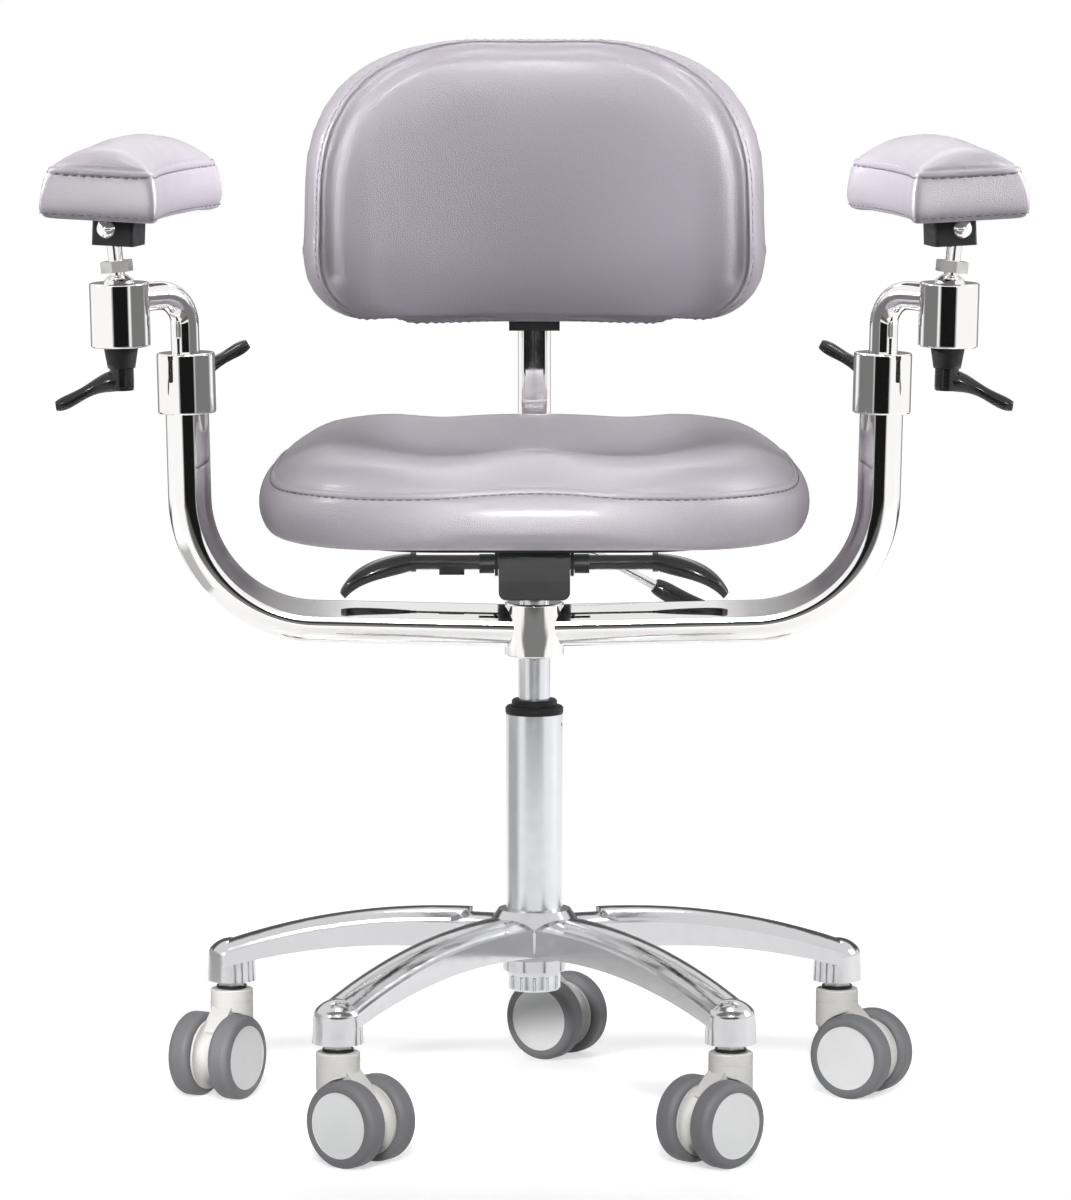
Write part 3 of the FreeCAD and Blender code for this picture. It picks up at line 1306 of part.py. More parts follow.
def ball_stud():
    ball = BALL_DIAMETER / 2
    body = Part.makeSphere(ball)
    neck_length = BOLT_HEIGHT / math.cos(math.radians(STUD_LEAN))
    neck = cylinder(NECK_DIAMETER, ORIGIN, neck_length)
    nut = hexagon(NUT_ACROSS, V(0, 0, NUT_BOTTOM), NUT_HEIGHT)
    body = body.fuse([neck, nut])
    body.rotate(ORIGIN, BACKWARD, -STUD_LEAN)
    eye = cylinder(EYE_DIAMETER, bolt_place(-EYE_WIDTH / 2), EYE_WIDTH, BACKWARD)
    bolt_hole = cylinder(BOLT_DIAMETER, bolt_place(-BLOCK_SIZE), 2 * BLOCK_SIZE, BACKWARD)
    front = -BLOCK_SIZE / 2 - PASS_GAP
    bolt = cylinder(BOLT_DIAMETER, bolt_place(front), BLOCK_SIZE - 6.0, BACKWARD)
    dome_radius = (BOLT_HEAD_DIAMETER ** 2 / 4 + BOLT_HEAD_HEIGHT ** 2) / (2 * BOLT_HEAD_HEIGHT)
    dome = Part.makeSphere(dome_radius, bolt_place(front - BOLT_HEAD_HEIGHT + dome_radius))
    head = dome.common(cylinder(BOLT_HEAD_DIAMETER, bolt_place(front), BOLT_HEAD_HEIGHT, -BACKWARD))
    return [on_ball(body.fuse(eye).cut(bolt_hole)), on_ball(bolt.fuse(head))]


def block_space(allowance):
    half = BLOCK_SIZE / 2 + allowance
    low = V(-half, -half, BLOCK_BOTTOM)
    return box(low, V(half, half, BLOCK_BOTTOM + BLOCK_HEIGHT + allowance))


def pad_block():
    body = block_space(0.0)
    upright = [edge for edge in body.Edges if abs(edge.tangentAt(0).z) > 0.9]
    body = body.makeFillet(3.0, upright)
    room = math.radians(PAD_ROLL_ROOM)
    pivot = bolt_place()
    drop = BOLT_HEIGHT - BLOCK_BOTTOM + 1
    lean = math.radians(STUD_LEAN)
    eye_room = EYE_DIAMETER / 2 + PASS_GAP
    slot_half = EYE_WIDTH / 2 + PASS_GAP
    left = drop * math.tan(room - lean) + eye_room / math.cos(room)
    right = drop * math.tan(room + lean) + eye_room / math.cos(room)
    slot = prism([
        pivot + V(-eye_room, -slot_half, 0),
        pivot + V(-left, -slot_half, -drop),
        pivot + V(right, -slot_half, -drop),
        pivot + V(eye_room, -slot_half, 0),
    ], V(0, 2 * slot_half, 0))
    eye_space = cylinder(2 * eye_room, pivot - V(0, slot_half, 0), 2 * slot_half, BACKWARD)
    bolt_hole = cylinder(BOLT_DIAMETER + 2 * RUN_GAP, bolt_place(-BLOCK_SIZE), 2 * BLOCK_SIZE, BACKWARD)
    return on_ball(rolled(body.cut([slot, eye_space, bolt_hole])))


def rolled(shape):
    """Copy turned about the cross bolt, which holds the pad's outer edge up."""
    copy = shape.copy()
    copy.rotate(bolt_place(), BACKWARD, PAD_ROLL)
    return copy


def pad_section(along, crown_share, edge_share):
    """Upright section across the pad: flat below, full sides and a crown.

    The pad's middle line lies nearer to the sitter than the ball.
    """
    y = along * PAD_LENGTH / 2
    inset = PAD_EDGE_ROUND * edge_share
    half = (PAD_WAIST + (PAD_WIDTH - PAD_WAIST) * along ** 2) / 2 - inset
    bottom = PAD_BOTTOM + inset
    seam = PAD_BOTTOM + PAD_SIDE - inset
    top = seam + PAD_CROWN * crown_share
    base = half - PAD_BULGE

    def at(x, z):
        return V(PAD_OFFSET + x, y, z)

    side_middle = (bottom + seam) / 2
    return Part.Wire([
        line(at(-base, bottom), at(base, bottom)),
        arc(at(base, bottom), at(half, side_middle), at(base, seam)),
        arc(at(base, seam), at(0, top), at(-base, seam)),
        arc(at(-base, seam), at(-half, side_middle), at(-base, bottom)),
    ])


def arm_pad():
    form = Part.makeLoft([pad_section(*station) for station in PAD_STATIONS], True)
    return on_ball(rolled(form.cut(block_space(PASS_GAP))))


def export(name, pieces):
    """Write one node; a list of pieces stays a group of separate solids."""
    if not isinstance(pieces, list):
        pieces = [pieces]
    shape = pieces[0] if len(pieces) == 1 else Part.makeCompound(pieces)
    shape.exportStep("parts/" + name + ".step")


def export_pair(name, build):
    pieces = build()
    if not isinstance(pieces, list):
        pieces = [pieces]
    export(name + "_left", pieces)
    export(name + "_right", [mirrored(piece) for piece in pieces])


def main():
    os.makedirs("parts", exist_ok=True)
    export("star_base", star_base())
    export("column_tube", column_tube())
    export("column_bush", column_bush())
    export("thrust_bearing", thrust_bearing())
    places = [polar(STEM_RADIUS, heading) for name, heading, trail in CASTERS]
    export("caster_stems", [spun(caster_stem(), 0, place) for place in places])
    export("caster_dust_rings", [spun(dust_ring(), 0, place) for place in places])
    for name, heading, trail in CASTERS:
        place = polar(STEM_RADIUS, heading)
        prefix = "caster_" + name
        export(prefix + "_housing", [spun(piece, trail, place) for piece in caster_housing()])
        for number, side in ((1, -1), (2, 1)):
            wheel = [spun(piece, trail, place) for piece in caster_wheel(side)]
            export(prefix + "_wheel_" + str(number), wheel)
    export("piston_rod", piston_rod())
    export("gas_cylinder", gas_cylinder())
    export("mech_housing", mech_housing())
    export("mech_cover", mech_cover())
    export("pivot_pins", pivot_pins())
    export("height_lever", height_lever())
    export("back_lever", paddle_lever())
    export("tilt_rod", tilt_rod())
    export("tilt_grip", tilt_grip())
    export("seat_plate", seat_plate())
    export("seat_board", seat_board())
    export("seat_cushion", seat_cushion())
    export("back_bracket", back_bracket())
    export("back_stem", back_stem())
    export("back_sleeve", back_sleeve())
    export("back_board", back_board())
    export("back_cushion", back_cushion())
    export("arm_hub", arm_hub())
    export_pair("arm_tube", arm_tube)
    collar = arm_collar()
    export("arm_collars", [collar, mirrored(collar)])
    export_pair("arm_plug", arm_plug)
    export_pair("arm_crank", arm_crank)
    export_pair("ball_cup", ball_cup)
    export_pair("ball_stud", ball_stud)
    export_pair("pad_block", pad_block)
    export_pair("arm_pad", arm_pad)
    export_pair("collar_lever", collar_lever)
    export_pair("socket_lever", socket_lever)


main()
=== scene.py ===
import bpy
import bmesh
import json
import math
import numpy as np
from mathutils import Matrix, Vector
from mathutils.bvhtree import BVHTree
from mathutils.kdtree import KDTree


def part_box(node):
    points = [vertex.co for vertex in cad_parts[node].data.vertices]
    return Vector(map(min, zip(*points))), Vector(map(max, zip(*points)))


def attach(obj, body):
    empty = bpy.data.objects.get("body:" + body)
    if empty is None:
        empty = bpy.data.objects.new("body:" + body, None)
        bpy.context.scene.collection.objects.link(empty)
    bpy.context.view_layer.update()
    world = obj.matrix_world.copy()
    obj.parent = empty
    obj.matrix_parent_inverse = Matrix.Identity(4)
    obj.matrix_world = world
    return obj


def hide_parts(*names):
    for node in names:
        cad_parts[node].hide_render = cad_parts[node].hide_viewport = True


# Looks of the laboratory chair. Metres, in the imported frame: the origin is on the
# floor under the lift column, +X is the photograph's right, +Y points away from
# its camera and +Z is up.

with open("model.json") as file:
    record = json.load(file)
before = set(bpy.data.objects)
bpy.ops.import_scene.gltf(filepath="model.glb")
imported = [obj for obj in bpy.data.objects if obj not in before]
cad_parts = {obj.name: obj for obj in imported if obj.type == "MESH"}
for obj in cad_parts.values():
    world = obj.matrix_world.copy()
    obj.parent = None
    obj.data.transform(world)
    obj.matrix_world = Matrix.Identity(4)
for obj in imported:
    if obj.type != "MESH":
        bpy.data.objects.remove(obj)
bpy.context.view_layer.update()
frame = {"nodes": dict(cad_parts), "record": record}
NODES = frame["nodes"]
MM = 0.001
UP = Vector((0, 0, 1))

# Upholstery
SEAT_VOXEL = 5.0 * MM
BACK_VOXEL = 5.0 * MM
PAD_VOXEL = 4.0 * MM
SHRINK = 1.6 * MM
SWELL_CAP = 4.0 * MM
AIR_PRESSURE = 3.0
AIR_FRAMES = 20
EASE_TURNS = 24
CLOTH_MASS = 0.3
CLOTH_STIFFNESS = 15.0
CLOTH_BENDING = 6.0
SEAM_HOLD = 3.0 * MM

# Seams: row of stitches beside the fold, groove above it, and how deep and wide each draws the cover in
STITCH_ROW = 5.4 * MM
STITCH_PITCH = 8.0 * MM
STITCH_LENGTH = 5.2 * MM
STITCH_RADIUS = 0.6 * MM
STITCH_SIDES = 6
GROOVE_ROW = -1.2 * MM
GROOVE_DRAW = (1.3 * MM, 1.6 * MM)
ROW_DRAW = (0.5 * MM, 2.2 * MM)
STITCH_DRAW = (0.5 * MM, 2.0 * MM)
STRIP_SINK = 2.5 * MM

# Rows of a folded edge: distance across the seam and height over the surface
FOLD = (
    (-0.4 * MM, -1.6 * MM),
    (-0.3 * MM, 0.4 * MM),
    (0.3 * MM, 1.0 * MM),
    (1.3 * MM, 1.1 * MM),
    (2.8 * MM, 0.85 * MM),
    (4.2 * MM, 0.4 * MM),
    (5.0 * MM, -0.3 * MM),
    (5.0 * MM, -1.6 * MM),
)

# Rings of one stitch: share of its length, lift and size in thread radii
STITCH_RINGS = (
    (-0.5, -0.9, 0.5),
    (-0.36, -0.1, 0.9),
    (0.0, 0.45, 1.0),
    (0.36, -0.1, 0.9),
    (0.5, -0.9, 0.5),
)

# Seat seam: heights at the front's sides and middle, and a rise at the rear and the sides, which fades
# out between two shares of the way to the front
SEAT_CENTRE = Vector((0, 0.007, 0))
SEAT_HALF = 0.23
SEAT_OUTSIDE = 0.6
SEAT_SEAM_SIDE = 0.5672
SEAT_SEAM_FRONT = 0.574
SEAT_SEAM_SPREAD = 0.085
SEAT_SEAM_RISE = 9.0 * MM
SEAT_SEAM_TURN = (0.0, 0.5)
SEAT_BOARD_TOP = 0.527

# Foam added to the seat: at the rear rim between two depths, and at the sides between two widths
SEAT_FILL = 5.0 * MM
SEAT_FILL_RISE = 15.0 * MM
SEAT_FILL_SPREAD = 0.085
SEAT_FILL_REAR = (0.02, 0.12)
SEAT_FILL_SIDE = (0.15, 0.20)

# Back seam, as the edge of the front panel
BACK_BOTTOM = 0.682
BACK_TOP = 0.939
BACK_WIDEST = 0.33
BACK_HALF = 0.210
BACK_TUCK = 0.017
BACK_REAR_Y = 0.2366
BACK_WRAP = 0.537
BACK_THICKNESS = 0.058
BACK_CROWN = 0.012
BACK_LOWER_POWERS = (4.5, 8)
BACK_UPPER_POWERS = (3.05, 12)
BACK_FILL = 4.5 * MM
BACK_FILL_RISE = 40.0 * MM
BACK_STRIP_RISE = 20.0 * MM

# Crease beside the back's seam: distance, least height, and how deep and wide it is
BACK_CREASE = -12.0 * MM
BACK_CREASE_RISE = 45.0 * MM
BACK_CREASE_DRAW = (3.4 * MM, 8.0 * MM)

# Arm pads, about the ball that carries them. The flare widens the foot of the side band.
BALL = Vector((-0.3596, -0.0450, 0.7287))
PAD_YAW = math.radians(-13.6)
PAD_ROLL = math.radians(2.2)
PAD_BOLT = Vector((-0.00583, 0, 0.0555))
PAD_OFFSET = 0.0105
PAD_OUTSIDE = 0.3
PAD_SEAM = 0.112
PAD_LOW_SEAM = 0.073
PAD_FLARE = 3.5 * MM
PAD_FLARE_ACROSS = 0.045
PAD_FLARE_ALONG = 0.095

# Casters: name and heading of the trail, with the radius that parts tyre and disc
CASTERS = (
    ("rear", -33.6),
    ("left", -119.0),
    ("front_left", -37.8),
    ("front_right", -135.8),
    ("right", -30.0),
)
DISC_RADIUS = 0.0285
DISC_PLAY = 0.05 * MM

# Clamping levers: length of the matt cone, and where it starts behind the collar and under the socket
CONE_LENGTH = 18.0 * MM
CONE_PLAY = 0.1 * MM
CONE_START_Y = 0.0259
CONE_START_Z = 0.6803

# Lock nut of the ball stud: least distance from its axis, and heights over the ball
NUT_INSIDE = 8.5 * MM
NUT_LOW = 15.0 * MM
NUT_HIGH = 29.0 * MM

# Camera of the photograph
CAMERA_PLACE = (0.001, -6.5, 1.235)
CAMERA_TILT = 83.15
CAMERA_LENS = 224.0
CAMERA_SENSOR = 36.0
CAMERA_FAR = 100.0

# Studio
AMBIENT = 0.07
FLOOR_HALF = 9.0
FLOOR_GREY = 0.62

# Glow of the floor: distances from the chair where it starts and ends to rise, and its levels there
FLOOR_FADE = (0.35, 1.3, 0.56, 1.0)

# Share of a card's sides over which it fades
CARD_EDGE = 0.14

# Soft boxes: name, place, target, width, height, power and spread of the grid in degrees
LAMPS = (
    ("back_light", (0, -0.9, 1.9), (0, 0.2, 0.93), 0.8, 0.2, 0.54, 24.0),
    ("seat_light", (0.05, -2.6, 0.95), (0, -0.2, 0.55), 0.4, 0.1, 0.32, 9.0),
    ("crest_light", (0, -0.3, 1.9), (0, -0.05, 0.58), 0.8, 0.2, 0.25, 22.0),
    ("left_pad_light", (2.2, -0.3, 1.7), (-0.3, -0.05, 0.85), 0.6, 0.6, 2.6, 16.0),
    ("right_pad_light", (-2.2, -0.3, 1.7), (0.3, -0.05, 0.85), 0.6, 0.6, 2.9, 16.0),
    ("front_light_left", (-1.5, -2.4, 1.3), (-0.38, -0.1, 0.82), 0.4, 0.3, 0.115, 9.0),
    ("front_light_right", (1.5, -2.4, 1.3), (0.38, -0.1, 0.82), 0.4, 0.3, 0.115, 9.0),
    ("side_light", (2.8, 0, 1.5), (0, 0, 0.65), 1.2, 1.6, 20.0, 180.0),
    ("rear_light", (0, 1.2, 2.2), (0, -0.1, 0.83), 1.6, 0.4, 10.0, 180.0),
    ("floor_light", (0, -2.6, 1.5), (0, -0.1, 0.05), 1.4, 0.3, 2.6, 18.0),
    ("caster_light", (-1.3, -1.4, 0.9), (0, 0.28, 0.05), 0.3, 0.3, 0.28, 9.0),
)

# The lamp for the casters' far side, which no mirror sees
REAR_LAMP = ("rear_floor_light", (0, 2.8, 1.2), (0, 0.1, 0.06), 1.2, 0.3, 0.7, 18.0)

# Cards that only mirrors see: name, one corner, the two sides from it, and grey level
CARDS = (
    ("dark_shelf", (-1.1, 0.28, 0.40), (2.2, 0, 0), (0, 0.62, 0), 0.10),
    ("grey_left", (-0.7, -0.35, 0.02), (0, 0.95, 0), (0, 0, 0.31), 0.52),
    ("dark_low", (-0.9, -1.0, 0.16), (1.8, 0, 0), (0, 0, 0.26), 0.12),
    ("grey_rear", (-2.5, 2.2, 0.0), (5.0, 0, 0), (0, 0, 1.5), 0.25),
    ("white_seat", (-0.22, -0.19, 0.506), (0.44, 0, 0), (0, 0.39, 0), 0.9),
    ("dark_front", (-2.1, -3.0, 0.0), (4.2, 0, 0), (0, 0, 0.8), 0.01),
    ("grey_base", (-0.5, -0.75, 0.36), (1.0, 0, 0), (0, 0.45, 0), 0.22),
    ("grey_middle", (0, -0.45, 0.40), (0, 0.585, 0), (0, 0, 0.40), 0.20),
)


# Materials

class Finish:
    """One procedural material, built on the Principled shader."""

    def __init__(self, name, colour, roughness, metallic=0.0, **sockets):
        self.material = bpy.data.materials.new(name)
        self.material.use_nodes = True
        self.tree = self.material.node_tree
        self.shader = self.tree.nodes["Principled BSDF"]
        self.colour = colour
        self.put("Base Color", (*colour, 1.0))
        self.put("Roughness", roughness)
        self.put("Metallic", metallic)
        for socket, value in sockets.items():
            self.put(socket.replace("_", " "), value)
        self.place = self.node("ShaderNodeTexCoord").outputs["Object"]
        self.relief = None

    def put(self, socket, value):
        self.shader.inputs[socket].default_value = value

    def node(self, kind, inputs=None, **settings):
        made = self.tree.nodes.new(kind)
        for key, value in settings.items():
            setattr(made, key, value)
        for key, value in (inputs or {}).items():
            if isinstance(value, bpy.types.NodeSocket):
                self.tree.links.new(value, made.inputs[key])
            else:
                made.inputs[key].default_value = value
        return made

    def stretched(self, stretch):
        if stretch is None:
            return self.place
        inputs = {"Vector": self.place, "Scale": stretch}
        return self.node("ShaderNodeMapping", inputs).outputs["Vector"]

    def noise(self, size, detail=2.0, stretch=None):
        """Soft noise whose blotches are about the given size across."""
        inputs = {"Vector": self.stretched(stretch), "Scale": 1.0 / size, "Detail": detail}
        return self.node("ShaderNodeTexNoise", inputs).outputs["Fac"]

    def cells(self, size):
        """Pebbles of about the given size, from 0 at their edges."""
        inputs = {"Vector": self.place, "Scale": 1.0 / size}
        made = self.node("ShaderNodeTexVoronoi", inputs, feature="DISTANCE_TO_EDGE")
        return made.outputs["Distance"]

    def spread(self, value, low, high, out_low, out_high):
        inputs = {
            "Value": value, "From Min": low, "From Max": high,
            "To Min": out_low, "To Max": out_high,
        }
        return self.node("ShaderNodeMapRange", inputs).outputs["Result"]

    def tint(self, value, first, second):
        """Base colour that goes from one tint to another with a value."""
        mix = self.node("ShaderNodeMix", {"Factor": value}, data_type="RGBA")
        for socket in mix.inputs:
            if socket.type == "RGBA":
                socket.default_value = (*(first if socket.name == "A" else second), 1.0)
        colour = [socket for socket in mix.outputs if socket.type == "RGBA"][0]
        self.tree.links.new(colour, self.shader.inputs["Base Color"])

    def mottle(self, value, amount):
        """Base colour a little darker and lighter with a value."""
        dark = [channel * (1 - amount) for channel in self.colour]
        light = [min(channel * (1 + amount), 1.0) for channel in self.colour]
        self.tint(value, dark, light)

    def vary_roughness(self, value, low, high):
        rough = self.spread(value, 0.3, 0.7, low, high)
        self.tree.links.new(rough, self.shader.inputs["Roughness"])

    def bump(self, value, depth, strength=1.0):
        """Adds relief of about the given depth over what is there."""
        inputs = {"Height": value, "Strength": strength, "Distance": depth}
        if self.relief is not None:
            inputs["Normal"] = self.relief
        self.relief = self.node("ShaderNodeBump", inputs).outputs["Normal"]
        self.tree.links.new(self.relief, self.shader.inputs["Normal"])


def leatherette(name, colour):
    made = Finish(name, colour, 0.36, Specular_IOR_Level=1.0, Coat_Weight=0.3, Coat_Roughness=0.26)
    blotches = made.noise(0.11, 3.0)
    made.mottle(blotches, 0.03)
    made.vary_roughness(made.noise(0.02, 4.0), 0.33, 0.39)
    made.bump(made.noise(0.034, 2.0), 0.0012, 0.25)
    pebbles = made.cells(0.0016)
    made.bump(made.spread(pebbles, 0.0, 0.25, 0.0, 1.0), 0.0003, 0.5)
    made.bump(made.noise(0.0009, 3.0), 0.0001, 0.3)
    return made.material


def metal(name, colour, roughness, unevenness, line_size, line_stretch, line_depth):
    """Bare or plated metal with a wavering gloss and fine polishing lines."""
    made = Finish(name, colour, roughness, 1.0)
    made.mottle(made.noise(0.05, 3.0), 0.03)
    made.vary_roughness(made.noise(0.012, 5.0), roughness - unevenness, roughness + unevenness)
    made.bump(made.noise(line_size, 3.0, line_stretch), line_depth, 0.5)
    return made


def grained_plastic(name, colour, roughness, grain, depth, gloss):
    made = Finish(name, colour, roughness, Specular_IOR_Level=gloss)
    made.mottle(made.noise(0.03, 4.0), 0.06)
    made.vary_roughness(made.noise(0.008, 4.0), roughness - 0.05, roughness + 0.05)
    made.bump(made.noise(grain, 2.0), depth, 0.6)
    return made.material


def plywood():
    made = Finish("plywood", (0.05, 0.042, 0.036), 0.6)
    rings = made.noise(0.02, 4.0, (1.0, 0.12, 8.0))
    made.tint(made.spread(rings, 0.3, 0.7, 0.0, 1.0), (0.035, 0.029, 0.025), (0.07, 0.058, 0.048))
    made.vary_roughness(rings, 0.5, 0.7)
    made.bump(made.noise(0.002, 3.0, (1.0, 0.06, 1.0)), 0.0002, 0.5)
    return made.material


def polished_aluminium():
    made = metal("polished_aluminium", ALUMINIUM, 0.14, 0.03, 1.6 * MM, None, 0.02 * MM)
    made.bump(made.noise(0.03, 2.0), 0.0004, 0.2)
    return made.material


# Plated and bare metals: colour, roughness and its unevenness, then size, stretch and depth of the
# polishing lines
METALS = {
    "satin_chrome": ((0.68, 0.69, 0.71), 0.22, 0.03, 1.0 * MM, (1.0, 1.0, 0.02), 0.02 * MM),
    "chrome": ((0.90, 0.89, 0.88), 0.045, 0.015, 4.0 * MM, None, 0.01 * MM),
    "steel": ((0.42, 0.41, 0.40), 0.33, 0.07, 0.8 * MM, (1.0, 1.0, 0.3), 0.06 * MM),
}

# Plastics, painted metal and threads: colour, roughness, size and depth of the grain, and gloss
PLASTICS = {
    "black_metal": ((0.014, 0.014, 0.015), 0.42, 1.2 * MM, 0.1 * MM, 0.25),
    "black_plastic": ((0.012, 0.012, 0.013), 0.44, 0.7 * MM, 0.12 * MM, 0.2),
    "lever_plastic": ((0.012, 0.012, 0.013), 0.17, 4.0 * MM, 0.03 * MM, 0.5),
    "lever_cone": ((0.014, 0.014, 0.015), 0.5, 0.8 * MM, 0.15 * MM, 0.25),
    # The dark thread of the seat and pads is partly painted shade: a real thread, coloured darker to
    # stand in for the shade in the holes where its stitches dip in
    "thread_with_painted_shade": ((0.15, 0.14, 0.155), 0.6, 0.6 * MM, 0.2 * MM, 0.5),
    "pale_thread": ((0.33, 0.305, 0.34), 0.6, 0.6 * MM, 0.2 * MM, 0.5),
    "caster_plastic": ((0.54, 0.53, 0.515), 0.45, 0.9 * MM, 0.1 * MM, 0.5),
    "wheel_plastic": ((0.135, 0.135, 0.142), 0.55, 1.2 * MM, 0.15 * MM, 0.5),
    "wheel_disc": ((0.66, 0.66, 0.66), 0.42, 0.9 * MM, 0.1 * MM, 0.5),
}
LEATHERETTE = (0.290, 0.262, 0.301)
ALUMINIUM = (0.62, 0.62, 0.63)


def make_finishes():
    finishes = {
        "upholstery": leatherette("upholstery", LEATHERETTE),
        "polished_aluminium": polished_aluminium(),
        "plywood": plywood(),
    }
    for name, values in METALS.items():
        finishes[name] = metal(name, *values).material
    for name, values in PLASTICS.items():
        finishes[name] = grained_plastic(name, *values)
    return finishes


FINISHES = make_finishes()


def dress_nodes():
    """Every CAD node takes the finish of its slot, and the cross pins with their caps go black."""
    for part in frame["record"]["subparts"]:
        mesh = NODES[part["node"]].data
        slot = "black_metal" if part["node"] == "pivot_pins" else part["material_slot"]
        mesh.materials.clear()
        mesh.materials.append(FINISHES[slot])


def split_finish(node, second, choose):
    """Second finish on the faces of a node that the given test picks by their corners."""
    mesh = NODES[node].data
    mesh.materials.append(FINISHES[second])
    picked = choose(read_points(mesh))
    for face in mesh.polygons:
        if all(picked[index] for index in face.vertices):
            face.material_index = 1


def dress_wheels():
    """Pale disc inside the dark tyre of each wheel."""
    for name, heading in CASTERS:
        angle = math.radians(heading)
        axle = np.array((-math.sin(angle), math.cos(angle), 0))
        for number in (1, 2):
            node = "caster_%s_wheel_%d" % (name, number)
            low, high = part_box(node)
            centre = np.array((low + high) / 2)

            def on_disc(points):
                away = points - centre
                along = away @ axle
                radius = np.linalg.norm(away - np.outer(along, axle), axis=1)
                return radius < DISC_RADIUS + DISC_PLAY

            split_finish(node, "wheel_disc", on_disc)


def dress_levers():
    """Matt cone at the foot of each clamping lever."""
    for side in ("left", "right"):
        split_finish("collar_lever_" + side, "lever_cone",
                     lambda points: points[:, 1] < CONE_START_Y + CONE_LENGTH + CONE_PLAY)
        split_finish("socket_lever_" + side, "lever_cone",
                     lambda points: points[:, 2] > CONE_START_Z - CONE_LENGTH - CONE_PLAY)


def dress_nuts():
    """Plain steel lock nut on each bright ball stud."""
    for side, x in (("left", BALL.x), ("right", -BALL.x)):
        axis = np.array((x, BALL.y))

        def on_nut(points):
            away = np.linalg.norm(points[:, :2] - axis, axis=1)
            height = points[:, 2] - BALL.z
            return (away > NUT_INSIDE) & (height > NUT_LOW) & (height < NUT_HIGH)

        split_finish("ball_stud_" + side, "steel", on_nut)


# Meshes

def new_piece(name, vertices, faces, finish):
    mesh = bpy.data.meshes.new(name)
    mesh.from_pydata([tuple(point) for point in vertices], [], faces)
    mesh.update()
    mesh.shade_smooth()
    piece = bpy.data.objects.new(name, mesh)
    bpy.context.collection.objects.link(piece)
    if finish:
        mesh.materials.append(FINISHES[finish])
    return piece


def read_points(mesh):
    points = np.empty(len(mesh.vertices) * 3)
    mesh.vertices.foreach_get("co", points)
    return points.reshape(-1, 3)


def write_points(mesh, points):
    mesh.vertices.foreach_set("co", np.asarray(points).ravel())
    mesh.update()


def read_normals(mesh):
    normals = np.empty(len(mesh.vertices) * 3)
    mesh.vertex_normals.foreach_get("vector", normals)
    return normals.reshape(-1, 3)


def ramp(values, low, high):
    """Smooth step from 0 to 1 between two values."""
    share = np.clip((values - low) / (high - low), 0, 1)
    return share * share * (3 - 2 * share)


def outward(piece):
    skin = bmesh.new()
    skin.from_mesh(piece.data)
    bmesh.ops.recalc_face_normals(skin, faces=skin.faces)
    skin.to_mesh(piece.data)
    skin.free()


def nearest(points):
    """Search tree over some points."""
    tree = KDTree(len(points))
    for row, point in enumerate(points):
        tree.insert(Vector(point), row)
    tree.balance()
    return tree


def bake_modifiers(piece):
    """Replaces the mesh by what its modifiers make of it."""
    graph = bpy.context.evaluated_depsgraph_get()
    mesh = bpy.data.meshes.new_from_object(piece.evaluated_get(graph))
    old = piece.data
    piece.modifiers.clear()
    piece.data = mesh
    bpy.data.meshes.remove(old)


def voxel_copy(nodes, name, voxel):
    """New object with the form of some nodes as one even skin of quads."""
    skin = bmesh.new()
    for node in nodes:
        skin.from_mesh(NODES[node].data)
    bmesh.ops.remove_doubles(skin, verts=skin.verts, dist=0.01 * MM)
    mesh = bpy.data.meshes.new(name)
    skin.to_mesh(mesh)
    skin.free()
    mesh.materials.clear()
    piece = bpy.data.objects.new(name, mesh)
    bpy.context.collection.objects.link(piece)
    remesh = piece.modifiers.new("skin", "REMESH")
    remesh.mode = "VOXEL"
    remesh.voxel_size = voxel
    ease = piece.modifiers.new("ease", "SMOOTH")
    ease.factor = 0.5
    ease.iterations = 3
    bpy.context.view_layer.update()
    bake_modifiers(piece)
    points = read_points(piece.data)
    write_points(piece.data, points - read_normals(piece.data) * SHRINK)
    return piece


# Lines on a soft surface

def surface_of(piece):
    mesh = piece.data
    points = [vertex.co.copy() for vertex in mesh.vertices]
    return BVHTree.FromPolygons(points, [tuple(face.vertices) for face in mesh.polygons])


def on_surface(surface, points):
    """Nearest places on the surface, with the outward normals there."""
    places = np.empty((len(points), 3))
    normals = np.empty((len(points), 3))
    for row, point in enumerate(points):
        place, normal, face, away = surface.find_nearest(Vector(point))
        places[row] = place
        normals[row] = normal
    return places, normals


def rolling_mean(values, reach):
    """Average over neighbours round a closed loop."""
    total = np.zeros_like(values)
    for shift in range(-reach, reach + 1):
        total += np.roll(values, shift, axis=0)
    return total / (2 * reach + 1)


def evenly(points, count):
    """The same closed loop as evenly spaced points."""
    closed = np.vstack([points, points[:1]])
    steps = np.linalg.norm(np.diff(closed, axis=0), axis=1)
    run = np.concatenate([[0], np.cumsum(steps)])
    wanted = np.linspace(0, run[-1], count, endpoint=False)
    return np.column_stack([np.interp(wanted, run, closed[:, axis]) for axis in range(3)])


def loop_length(points):
    return np.linalg.norm(points - np.roll(points, 1, axis=0), axis=1).sum()


